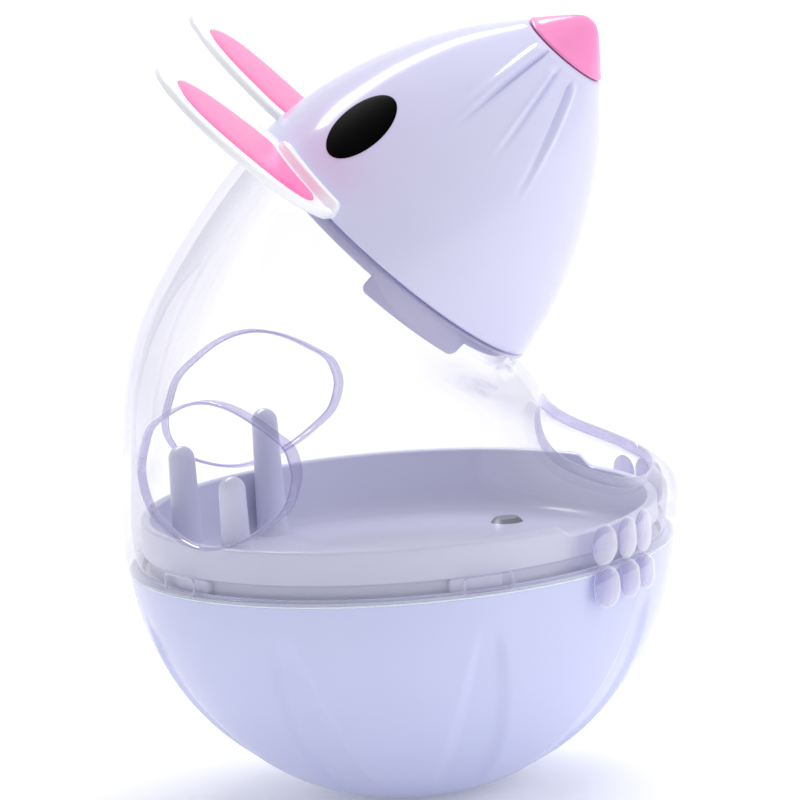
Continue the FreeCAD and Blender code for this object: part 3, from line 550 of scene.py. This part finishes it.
def land(surface, base, e1, e2, uv, w0, f0):
    """Where the straight lines through the outline meet the surface."""
    w = np.full(len(uv), float(w0))
    f = np.full(len(uv), float(f0))
    for _ in range(40):
        p = surface(w, f)
        r1 = (p - base) @ e1 - uv[:, 0]
        r2 = (p - base) @ e2 - uv[:, 1]
        h = 1e-4
        pw = (surface(w + h, f) - p) / h
        pf = (surface(w, f + h) - p) / h
        a, b, c, d = pw @ e1, pf @ e1, pw @ e2, pf @ e2
        det = a * d - b * c
        w = w - np.clip((d * r1 - b * r2) / det, -3, 3)
        f = f - np.clip((-c * r1 + a * r2) / det, -0.15, 0.15)
        w = np.clip(w, 0.5, TOP - 0.5)
    return w, f


REAR_WINDOW = [(-1.007, -0.016), (-0.934, 0.237), (-0.842, 0.484), (-0.621, 0.696), (-0.327, 0.899), (0.014, 0.996),
               (0.403, 0.864), (0.646, 0.664), (0.773, 0.536), (0.870, 0.422), (0.945, 0.235), (0.993, 0.023),
               (0.992, -0.158), (0.961, -0.349), (0.832, -0.559), (0.587, -0.808), (0.306, -0.963), (0.0, -1.006),
               (-0.312, -0.911), (-0.594, -0.746), (-0.797, -0.582), (-0.933, -0.371), (-1.001, -0.191)]
FRONT_WINDOW = []
for i in range(20):
    a = 2 * math.pi * i / 20
    FRONT_WINDOW.append((math.copysign(abs(math.cos(a)) ** 0.8, math.cos(a)),
                         math.copysign(abs(math.sin(a)) ** 0.8, math.sin(a))))

holes = []
for side in (1, -1):
    a = math.radians(130.5 * side)
    e1 = np.array([-math.sin(a), math.cos(a), 0]) * -side
    holes.append((REAR_WINDOW, 16.0, 10.6, np.array([0, 0, 57.0]), e1, np.array([0, 0, 1.0]), 19.5, a))
a = math.radians(22.5)
holes.append((FRONT_WINDOW, 16.0, 9.5, np.array([31.05, 0, 53.3]), np.array([0, 1.0, 0]),
              np.array([math.cos(a), 0, -math.sin(a)]), 15.0, 0.0))

FSCALE = 36.0
ROUND = 0.5


def curve_strip(a_out, c_out, c_in, a_in, rnd, steps=4):
    """Loops of a rounded edge between the outer and the inner skin (both ends left out)."""
    d = c_in - c_out
    d /= np.linalg.norm(d, axis=1)[:, None]
    b1, b2 = c_out + d * rnd, c_in - d * rnd
    rows = []
    for k in range(1, steps + 1):
        t = k / steps
        rows.append((1 - t) ** 2 * a_out + 2 * t * (1 - t) * c_out + t * t * b1)
    for k in range(0, steps):
        t = k / steps
        rows.append((1 - t) ** 2 * b2 + 2 * t * (1 - t) * c_in + t * t * a_in)
    return rows


def inside(poly, pts):
    x, y = pts[:, 0], pts[:, 1]
    hit = np.zeros(len(pts), bool)
    j = len(poly) - 1
    for i in range(len(poly)):
        xi, yi = poly[i]
        xj, yj = poly[j]
        cross = ((yi > y) != (yj > y)) & (x < (xj - xi) * (y - yi) / (yj - yi + 1e-30) + xi)
        hit ^= cross
        j = i
    return hit


def near(poly, pts, limit):
    d = np.full(len(pts), 1e9)
    for k in range(len(poly)):
        d = np.minimum(d, np.hypot(*(pts - poly[k]).T))
    return d < limit


COLS = 240
fs = np.linspace(-math.pi, math.pi, COLS + 1)
rows_w = np.linspace(ROUND, TOP - 0.4, 66)


def skin(surface, normal_sign):
    """One skin of the dome with its windows left open. Returns vertices, normals, faces, and the index of the edge loops."""
    loops = []
    for pts, hx, hy, base, e1, e2, w0, f0 in holes:
        q, n = outline(pts, hx, hy, 132)
        w, f = land(surface, base, e1, e2, q + n * ROUND, w0, f0)
        loops.append(np.stack([f * FSCALE, w], 1))
    grid = np.array([(f * FSCALE, w) for w in rows_w for f in fs])
    keep = np.ones(len(grid), bool)
    for lp in loops:
        keep &= ~inside(lp, grid)
        keep &= ~near(lp, grid, 0.42)
    index = -np.ones(len(grid), int)
    index[keep] = np.arange(keep.sum())
    pts = [tuple(p) for p in grid[keep]]
    edges = []
    starts = []
    for lp in loops:
        s = len(pts)
        starts.append(s)
        pts += [tuple(p) for p in lp]
        edges += [(s + k, s + (k + 1) % len(lp)) for k in range(len(lp))]
    res = delaunay_2d_cdt([Vector(p) for p in pts], edges, [], 0, 1e-6)
    back = [o[0] if len(o) else -1 for o in res[3]]
    P = np.array(pts)
    tri = np.array([[back[i] for i in f] for f in res[2]])
    mid = P[tri].mean(1)
    ok = np.ones(len(tri), bool)
    for lp in loops:
        ok &= ~inside(lp, mid)
    tri = tri[ok]
    w, f = P[:, 1], P[:, 0] / FSCALE
    V = surface(w, f)
    N = outer_normal(w, f) * normal_sign
    # join the two sides of the cut at the back
    g = index.reshape(len(rows_w), COLS + 1)
    alias = np.arange(len(P))
    for row in g:
        alias[row[-1]] = row[0]
    tri = alias[tri]
    first = [alias[i] for i in g[0][:-1]]
    last = [alias[i] for i in g[-1][:-1]]
    rims = [list(range(s, s + 132)) for s in starts]
    return V, N, tri, first, last, rims


Vo, No, To, lo_o, hi_o, rim_o = skin(outer, 1)
Vi, Ni, Ti, lo_i, hi_i, rim_i = skin(inner_skin, -1)
verts = [Vo, Vi]
norms = [No, Ni]
faces = [tuple(t) for t in To] + [tuple(t + len(Vo)) for t in Ti]
kinds = [0] * len(faces)
count = len(Vo) + len(Vi)


def orient(tris, V, N):
    """Turns triangles so that they face along their normals."""
    out = []
    for t in tris:
        n = np.cross(V[t[1]] - V[t[0]], V[t[2]] - V[t[0]])
        out.append(t if n @ N[t[0]] > 0 else t[::-1])
    return out


faces = orient(faces, np.vstack(verts), np.vstack(norms))


def add_strip(idx_out, idx_in, rows, kind):
    global count
    n = len(idx_out)
    chain = [list(idx_out)]
    for r in rows:
        verts.append(r)
        norms.append(np.full((n, 3), np.nan))
        chain.append(list(range(count, count + n)))
        count += n
    chain.append(list(idx_in))
    allv = np.vstack(verts)
    # face direction: away from the middle of the wall
    a, b = chain[0], chain[1]
    for i in range(len(chain) - 1):
        for j in range(n):
            k = (j + 1) % n
            faces.append((chain[i][j], chain[i][k], chain[i + 1][k], chain[i + 1][j]))
            kinds.append(kind)
    return allv


strip_ranges = []
for h, (pts, hx, hy, base, e1, e2, w0, f0) in enumerate(holes):
    q, n = outline(pts, hx, hy, 132)
    w, f = land(outer, base, e1, e2, q, w0, f0)
    c_out = outer(w, f)
    w, f = land(inner_skin, base, e1, e2, q, w0, f0)
    c_in = inner_skin(w, f)
    rows = curve_strip(Vo[rim_o[h]], c_out, c_in, Vi[rim_i[h]], ROUND)
    s = len(faces)
    add_strip(rim_o[h], [i + len(Vo) for i in rim_i[h]], rows, 1)
    strip_ranges.append((s, len(faces)))
f = fs[:-1]
for w_end, io, ii in ((0.0, lo_o, lo_i), (TOP, hi_o, hi_i)):
    wv = np.full(COLS, w_end)
    rows = curve_strip(Vo[io], outer(wv, f), inner_skin(wv, f), Vi[ii], 0.4)
    s = len(faces)
    add_strip(io, [i + len(Vo) for i in ii], rows, 2 if w_end == 0 else 1)
    strip_ranges.append((s, len(faces)))
V = np.vstack(verts)
N = np.vstack(norms)
# each strip is turned to agree with the skin it starts from
for s, e in strip_ranges:
    f0 = faces[s]
    c = V[list(f0)].mean(0)
    n = np.cross(V[f0[1]] - V[f0[0]], V[f0[3]] - V[f0[0]])
    if n @ N[f0[0]] < 0:
        for k in range(s, e):
            faces[k] = tuple(reversed(faces[k]))
used = sorted({i for t in faces for i in t})
remap = -np.ones(len(V), int)
remap[used] = np.arange(len(used))
faces = [tuple(int(remap[i]) for i in t) for t in faces]
dome = make("dome", (V[used], faces), [CLEAR, EDGE, LIP], "dome", ["clear_dome"],
            normals=N[used], which=kinds, outward=False)


# paws: three clear toes and a palm on each side, outside the dome and the bowl
def skin_r(z):
    """Radius just outside the dome above the seam, and clear of the bowl below it."""
    return np.where(np.asarray(z) >= 37.8, np.interp(z, [37.8, 41.5, 45, 48.3, 53.5], [42.52, 43.0, 43.03, 42.75, 41.2]), 42.7)


def toe(mid_deg, z0, z1, half, height, n=28, m=34):
    """A rounded bar with its back on the dome: sections from the lower end to the upper one."""
    rows = []
    a0 = math.radians(mid_deg)
    for t in np.linspace(0, 1, m):
        u = 0.5 - 0.5 * math.cos(math.pi * t)
        z = z0 + (z1 - z0) * u
        d = min(z - z0, z1 - z)
        k = math.sqrt(max(0.0, 1 - (1 - min(1, d / half)) ** 2))
        k = max(k, 0.03)
        ang = np.linspace(0, math.pi, n)
        x = half * k * np.cos(ang)
        hgt = height * (k ** 0.7) * np.sin(ang) ** 0.72
        back = np.linspace(-1, 1, 9)[1:-1] * half * k
        x = np.concatenate([x, back])
        hgt = np.concatenate([hgt, np.zeros(len(back))])
        r = skin_r(z) + 0.04 + hgt
        rows.append(np.stack([r * np.cos(a0 + x / 43.5), r * np.sin(a0 + x / 43.5), np.full(len(x), z)], 1))
    return strips(rows, "fan", "fan")


toes = []
for side in (1, -1):
    for mid, half, drop in ((39.3, 2.75, 0.0), (32.0, 2.25, 0.5), (26.0, 2.25, 0.9)):
        toes.append(toe(mid * side, 32.3 + drop, 38.75, half, 1.35))
        toes.append(toe(mid * side, 38.8, 45.1 + drop * 0.4, half - 0.05, 0.75))
make("paws", merge(*toes), PAW, "dome")


def frame_tube(mid_deg, half_deg, z0, z1, radius, thick, corner=0.7):
    """A thin rounded frame that follows the dome's wall."""
    hw, hh = math.radians(half_deg) * radius, (z1 - z0) / 2
    line = []
    for cx, cz, a0 in ((hw - corner, hh - corner, 0), (-hw + corner, hh - corner, 90), (-hw + corner, -hh + corner, 180), (hw - corner, -hh + corner, 270)):
        for k in range(7):
            a = math.radians(a0 + 15 * k)
            line.append((cx + corner * math.cos(a), cz + corner * math.sin(a), math.cos(a), math.sin(a)))
    rows = []
    for x, z, nx, nz in line:
        loop = []
        for k in range(10):
            b = 2 * math.pi * k / 10
            px, pz = x + nx * thick * math.cos(b), z + nz * thick * math.cos(b)
            r = radius + thick * math.sin(b)
            a = math.radians(mid_deg) + px / radius
            loop.append((r * math.cos(a), r * math.sin(a), (z0 + z1) / 2 + pz))
        rows.append(np.array(loop))
    return ring_tube(rows)


frames = []
for side in (1, -1):
    frames.append(frame_tube(139.8 * side, 5.2, 38.15, 40.85, 41.65, 0.24))
    frames.append(frame_tube(67.0 * side, 5.4, 38.15, 40.6, 41.65, 0.20))
make("seam_frames", merge(*frames), PAW, "dome")

# ---------------------------------------------------------------- neck ring
ring_ang = np.radians(np.arange(0, 360, 1.0))
marks = []
for side in (1, -1):
    mid = 180 - side * 112
    for e in (-23.5, 23.5):
        marks += [mid + e + d for d in (-0.3, -0.02, 0.02, 0.3)]
ring_ang = np.sort(np.unique(np.concatenate([ring_ang, np.radians(np.array(marks) % 360)])))


def ring_low(a_deg):
    low = np.full(len(a_deg), -1.7)
    for side in (1, -1):
        d = np.abs((a_deg - (180 - side * 112) + 180) % 360 - 180)
        x = np.radians(d) * 24
        wdt = math.radians(23.5) * 24
        rr = 1.1
        s = np.where(x < wdt - rr, -4.4, -4.4 + rr - np.sqrt(np.maximum(0, rr ** 2 - (np.maximum(x, wdt - rr) - wdt + rr) ** 2)))
        low = np.where(x <= wdt, np.minimum(low, s), low)
    return low


lows = ring_low(np.degrees(ring_ang))
rows = []
for r, s in ((23.55, lows), (23.8, lows + 0.08), (23.95, lows + 0.3), (23.97, np.minimum(lows + 1.0, -1.1)), (24.1, -0.9 + 0 * lows),
             (24.1, 0.8 + 0 * lows), (24.05, 0.95 + 0 * lows), (23.65, 1.35 + 0 * lows), (23.6, 1.5 + 0 * lows), (23.6, 2.7 + 0 * lows),
             (23.4, 2.9 + 0 * lows), (22.9, 2.9 + 0 * lows), (22.7, 2.7 + 0 * lows), (22.7, lows + 0.3), (22.78, lows + 0.08), (22.95, lows)):
    rows.append(np.stack([r * np.cos(ring_ang), r * np.sin(ring_ang), s], 1))
make("ring", neck(ring_tube(rows)), RING, "neck", ["neck_ring"])

# ---------------------------------------------------------------- head
HEAD_PTS = [(0.8, 26.3), (5, 25.6), (10, 24.6), (15, 23.0), (20, 21.0), (25, 18.5), (30, 15.5), (35, 11.7), (38.9, 8.2), (39.9, 6.9)]
hs = np.array([p[0] for p in HEAD_PTS])
hr = np.array([p[1] for p in HEAD_PTS])
head_r = cubic(hs[:-1], hr[:-1])


def hr_at(s):
    return head_r(np.asarray(s, float))[..., 0]


s_rows = np.concatenate([np.linspace(1.25, 38.3, 120)])
prof = soften([(24.5, 3.0), (24.5, 0.8), (26.28, 0.8), (26.15, 1.9)], [0, .45, .45, 0], 5)
head_prof = [tuple(p) for p in prof[:-1]]
n_rim = len(head_prof)
head_prof += [(float(hr_at(s)), float(s)) for s in s_rows if s > 1.3]
tip = soften([(float(hr_at(38.3)), 38.3), (8.05, 39.15), (7.3, 39.9), (0, 39.9)], [0, .5, .5, 0], 5)
head_prof += [tuple(p) for p in tip[1:]]

CREASES = [
    # degrees from the rear, from s, to s, depth, side of the raised edge, its height, its width
    (73.0, 39.0, 20.0, 0.90, -1, 0.85, 0.95),
    (95.5, 38.0, 21.5, 0.55, -1, 0.50, 0.50),
    (113.5, 37.8, 19.5, 0.62, 1, 0.58, 0.50),
]


def crease(loop, i):
    """Three whisker creases on each cheek: a valley with a raised edge, fading away from the nose."""
    s = loop[0, 2]
    if i < n_rim or s < 15 or s > 39.4:
        return loop
    r = np.hypot(loop[:, 0], loop[:, 1])
    a = np.degrees(np.arctan2(np.abs(loop[:, 1]), -loop[:, 0]))
    push = np.zeros(len(loop))
    for mid, s1, s0, deep, way, lift, wide in CREASES:
        t = (s - s0) / (s1 - s0)
        if t <= 0:
            continue
        fade = float(ease(t * 1.25)) * float(ease((s1 + 0.9 - s) / 1.6))
        x = np.radians(a - mid) * r
        w = 0.34 + 0.22 * (1 - min(t, 1))
        push += -deep * fade * np.exp(-(x / w) ** 2)
        xr = x - way * (w + wide * 0.8)
        push += lift * fade * np.exp(-(xr / wide) ** 2)
    n = loop.copy()
    n[:, 2] = 0
    n /= np.maximum(np.linalg.norm(n, axis=1)[:, None], 1e-9)
    out = loop + n * push[:, None] * 0.9
    out[:, 2] += push * 0.4
    return out


ang_n = 720
# the inner skin joins the outer one at the rim
pts = [(0, 38.0), (5.6, 38.0)] + [(float(hr_at(s)) - 1.85, float(s)) for s in np.linspace(37.0, 4.2, 34)]
pts = [p for p in pts if p[0] < 23.9] + [(24.5, 3.0)]
full = pts + head_prof[1:]


head = lathe(full, ang_n, move=lambda l, i: crease(l, (i + 1) - len(pts) + 1) if (i + 1) >= len(pts) else l)
make("head", neck(head), HEAD, "head", ["head_shell"])

# nose
frac = [(0, .93), (.02, .985), (.06, 1.0), (.12, .955), (.30, .80), (.50, .63), (.70, .455), (.84, .325), (.93, .22), (.985, .11), (1.0, 0)]
fn = cubic([0, .3, .6, 1.2, 2.6, 4.2, 5.8, 7.0, 7.8, 8.5, 9.0], frac)
pr = fn(np.linspace(0, 9.0, 60))
pr[0, 1] = .93
nose_prof = [(0, 38.2), (3.0, 38.2), (3.0, 40.0)] + [(max(7.1 * b, 0), 40.0 + 6.35 * a) for a, b in pr]
nose_prof[-1] = (0, 46.35)
make("nose_cap", neck(lathe(nose_prof, 128)), NOSE, "head", ["nose"])

# ---------------------------------------------------------------- eyes
for side, tag, node in ((1, "eye_l", "eye_left"), (-1, "eye_r", "eye_right")):
    a = math.radians(180 - side * 45.3)
    c = np.array([23.3 * math.cos(a), 23.3 * math.sin(a), 13.4])
    out = np.array([0.94 * math.cos(a), 0.94 * math.sin(a), 0.342])
    along = np.array([-0.342 * math.cos(a), -0.342 * math.sin(a), 0.94])
    acr = np.cross(along, out)
    g = math.radians(7 * side)
    xd = along * math.cos(g) + acr * math.sin(g)
    yd = np.cross(out, xd)

    def on_head(p):
        """Moves points along the eye's axis onto the head's surface."""
        d = np.zeros(len(p))
        for _ in range(30):
            q = p + out * d[:, None]
            f = np.hypot(q[:, 0], q[:, 1]) - hr_at(np.clip(q[:, 2], 1, 38))
            d -= f
        return p + out * d[:, None]

    th = np.linspace(0, 2 * math.pi, 96, endpoint=False)
    rows = []
    for k, lift in [(0.985, -0.95), (0.985, -0.1), (1.0, 0.02), (0.995, 0.10), (0.975, 0.17), (0.93, 0.24), (0.85, 0.31), (0.72, 0.38), (0.55, 0.44), (0.36, 0.48), (0.18, 0.5)]:
        base = c + xd * (6.5 * k * np.cos(th))[:, None] + yd * (4.3 * k * np.sin(th))[:, None]
        rows.append(on_head(base) + out * lift)
    top = on_head(c[None])[0] + out * 0.5
    low = on_head(c[None])[0] - out * 0.95
    make(tag, neck(strips(rows, low, top)), BLACK, "head", [node])

# ---------------------------------------------------------------- ears
EAR_OUTLINE = [(-1.0, 0.13), (-0.94, 0.43), (-0.80, 0.67), (-0.58, 0.87), (-0.32, 0.98), (-0.03, 1.0), (0.26, 0.94),
               (0.53, 0.81), (0.75, 0.61), (0.92, 0.35), (1.0, 0.07), (0.95, -0.27), (0.78, -0.66), (0.49, -0.92),
               (0.22, -1.0), (0.0, -0.975), (-0.22, -0.88), (-0.46, -0.73), (-0.69, -0.52), (-0.86, -0.26), (-0.97, -0.05)]
INLAY_OUTLINE = [(-1.0, 0.13), (-0.92, 0.55), (-0.70, 0.87), (-0.36, 1.0), (0.0, 1.0), (0.38, 0.94), (0.68, 0.82),
                 (0.91, 0.58), (1.0, 0.25), (0.97, -0.15), (0.75, -0.62), (0.45, -0.90), (0.15, -0.97), (-0.15, -0.87),
                 (-0.48, -0.70), (-0.77, -0.45), (-0.94, -0.18)]
TH = np.linspace(0, 2 * math.pi, 216, endpoint=False)


def polar(points, hx, hy, grow=0.0):
    q, n = outline(points, hx, hy, 900)
    q = q + n * grow
    a = np.arctan2(q[:, 1], q[:, 0]) % (2 * math.pi)
    o = np.argsort(a)
    return np.interp(TH, a[o], np.hypot(q[:, 0], q[:, 1])[o], period=2 * math.pi)


def ear_loop(points, hx, hy, side, grow, s, clear_r):
    """One loop of the ear at height s, kept outside the radius clear_r about the neck axis."""
    d = polar(points, hx, hy, grow)
    c = np.array([-28.5, 24.0])
    u = np.stack([np.cos(TH), np.sin(TH)], 1)
    cu = u @ c
    disc = cu ** 2 - (c @ c - clear_r ** 2)
    hit = np.where((disc > 0) & (cu < 0), -cu - np.sqrt(np.maximum(disc, 0)), 1e3)
    k = 0.35
    dm = np.minimum(d, hit)
    soft = np.maximum(k - np.abs(d - hit), 0) / k
    dm = dm - soft ** 2 * k * 0.25
    p = c + u * dm[:, None]
    p[:, 1] *= side
    return np.stack([p[:, 0], p[:, 1], np.full(len(p), s)], 1)


for side, tag in ((1, "left"), (-1, "right")):
    E = lambda grow, s, rc: ear_loop(EAR_OUTLINE, 17.3, 15.2, side, grow, s, rc)
    I = lambda grow, s, rc=27.8: ear_loop(INLAY_OUTLINE, 13.4, 10.7, side, grow, s, rc)
    rows = [I(-8.0, .75, 34.0), E(-2.0, .75, 27.3), E(-0.6, .75, 26.85), E(-0.22, .82, 26.8), E(-0.04, .98, 26.75), E(0, 1.16, 26.75),
            E(0, 1.40, 26.5), E(0, 1.68, 26.2), E(-0.10, 1.91, 26.1), E(-0.32, 2.09, 26.0), E(-0.62, 2.18, 26.0),
            E(-0.95, 2.15, 26.0), E(-1.25, 2.04, 26.0), E(-1.5, 1.94, 26.0), E(-1.8, 1.90, 26.0), I(0.42, 1.90, 27.4), I(0.20, 1.87, 27.62),
            I(0.06, 1.75, 27.76), I(0.06, 1.31, 27.76), I(-1.0, 1.31, 28.8), I(-8.0, 1.31, 34.0)]
    body = strips(rows, "fan", "fan")
    # root wall that hugs the head behind the ear
    root = []
    for t in np.linspace(-1, 1, 49):
        a = math.radians(180 - side * (47 + 19 * t))
        e = min(1, (1 - abs(t)) / 0.16)
        k = math.sqrt(max(0, 1 - (1 - e) ** 2))
        top_s = 1.3 + 2.3 * max(k, 0.02)
        sec = soften([(26.0, 1.0), (27.3, 1.0), (27.3, top_s), (25.6, top_s), (25.6, 1.0)], [0, .1, .45, .45, 0], 4)
        sec = sec[:-1]
        root.append(np.stack([sec[:, 0] * math.cos(a), sec[:, 0] * math.sin(a), sec[:, 1]], 1))
    wall = strips(root, "fan", "fan")
    v, f = merge(body, wall)
    make("ear_" + tag[0], neck((v, f)), EAR, "head", ["ear_" + tag])
    rows = [I(-8, 1.35, 34.0), I(-0.6, 1.35, 28.5), I(-0.15, 1.35, 27.95), I(-0.03, 1.45, 27.83), I(-0.03, 1.67, 27.83), I(-0.12, 1.81, 27.95), I(-0.35, 1.93, 28.2),
            I(-0.8, 2.05, 28.6), I(-1.6, 2.17, 29.4), I(-3.0, 2.28, 30.6), I(-5.0, 2.35, 32.2), I(-8.0, 2.39, 34.5)]
    make("inset_" + tag[0], neck(strips(rows, "fan", "fan")), PINK, "head", ["ear_inlay_" + tag])

# ---------------------------------------------------------------- pieces kept from the CAD
for node, mat in (("counterweight", STEEL), ("weight_screw", STEEL), ("tray_screws", STEEL), ("head_screws", STEEL), ("head_base", TRAY)):
    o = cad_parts[node]
    o.data.materials.clear()
    o.data.materials.append(mat)

# ---------------------------------------------------------------- set: floor, lights, camera
AZ, EL, ROLL = math.radians(5.157), math.radians(10.522), math.radians(4.261)
back = Vector((math.sin(AZ) * math.cos(EL), -math.cos(AZ) * math.cos(EL), math.sin(EL)))
right = Vector((math.cos(AZ), math.sin(AZ), 0))
up = back.cross(right)
target = Vector((0, 0, 0.060)) + right * 0.001445 + up * 0.000981
ix = right * math.cos(ROLL) - up * math.sin(ROLL)
iy = right * math.sin(ROLL) + up * math.cos(ROLL)
cam_data = bpy.data.cameras.new("camera")
cam = bpy.data.objects.new("camera", cam_data)
bpy.context.scene.collection.objects.link(cam)
loc = target + back * 1.5029
cam.matrix_world = Matrix(((ix.x, iy.x, back.x, loc.x), (ix.y, iy.y, back.y, loc.y), (ix.z, iy.z, back.z, loc.z), (0, 0, 0, 1)))
cam_data.sensor_width = 36.0
cam_data.lens = 36.0 * 1502.9 / (800 / 6.491)
cam_data.clip_start = 0.05
cam_data.clip_end = 30.0
bpy.context.scene.camera = cam

# floor and backdrop in one sweep
arc = [(-1.6, 0.0), (0.9, 0.0)] + [(0.9 + 0.6 * math.sin(a), 0.6 - 0.6 * math.cos(a)) for a in np.linspace(0.05, math.pi / 2, 20)] + [(1.5, 2.6)]
arc = [(y, z) for y, z in arc]
rows = [np.array([(x, y, z) for x in np.linspace(-2.6, 2.6, 9)]) for y, z in arc]
v, fcs = strips(rows, wrap=False)
me = bpy.data.meshes.new("floor")
me.from_pydata([tuple(p) for p in v], [], fcs)
me.polygons.foreach_set("use_smooth", [True] * len(me.polygons))
floor = bpy.data.objects.new("floor", me)
bpy.context.scene.collection.objects.link(floor)
m, t, out = tree("floor_white")
p = t.nodes.new("ShaderNodeBsdfDiffuse")
t.links.new(blend_colors(t, noise(t, 3.0), (0.93, 0.93, 0.94, 1), (0.95, 0.95, 0.95, 1)), p.inputs["Color"])
em = t.nodes.new("ShaderNodeEmission")
em.inputs["Strength"].default_value = 0.16
both = t.nodes.new("ShaderNodeAddShader")
t.links.new(p.outputs[0], both.inputs[0])
t.links.new(em.outputs[0], both.inputs[1])
t.links.new(both.outputs[0], out.inputs["Surface"])
me.materials.append(m)


def area(name, place, aim, sx, sy, power, color=(1, 1, 1), long_axis=None):
    d = bpy.data.lights.new(name, "AREA")
    d.shape = "RECTANGLE"
    d.size, d.size_y = sx, sy
    d.energy = power
    d.color = color
    o = bpy.data.objects.new(name, d)
    bpy.context.scene.collection.objects.link(o)
    z = (Vector(place) - Vector(aim)).normalized()
    y = Vector(long_axis) if long_axis is not None else Vector((0, 0, 1))
    x = y.cross(z).normalized()
    y = z.cross(x)
    pl = Vector(place)
    o.matrix_world = Matrix(((x.x, y.x, z.x, pl.x), (x.y, y.y, z.y, pl.y), (x.z, y.z, z.z, pl.z), (0, 0, 0, 1)))
    return o


top = area("top_box", (0.15, 0.35, 1.25), (0, 0, 0.06), 1.3, 1.0, 10.5)
side = area("side_box", (1.25, -0.25, 0.55), (0, 0, 0.07), 0.8, 1.0, 4.4)
left = area("left_box", (-1.35, -0.1, 0.7), (0, 0, 0.07), 0.7, 0.9, 1.3)
# narrow strip that draws the streak along the top of the head
head_mid = Vector((0.016, -0.008, 0.112))
strip_dir = Vector((-0.351, 0.581, 0.734)).normalized()
streak = area("streak", head_mid + strip_dir * 1.0, head_mid, 0.055, 0.75, 9.0, long_axis=(0.6, 0.15, -0.3))
streak.visible_diffuse = False
top.visible_glossy = False
side.visible_glossy = False

world = bpy.data.worlds.new("studio")
bpy.context.scene.world = world
world.use_nodes = True
bg = world.node_tree.nodes["Background"]
bg.inputs["Color"].default_value = (0.96, 0.96, 1.0, 1)
bg.inputs["Strength"].default_value = 0.5

scene = bpy.context.scene
scene.view_settings.view_transform = "Standard"
scene.view_settings.look = "None"
scene.cycles.transparent_max_bounces = 24
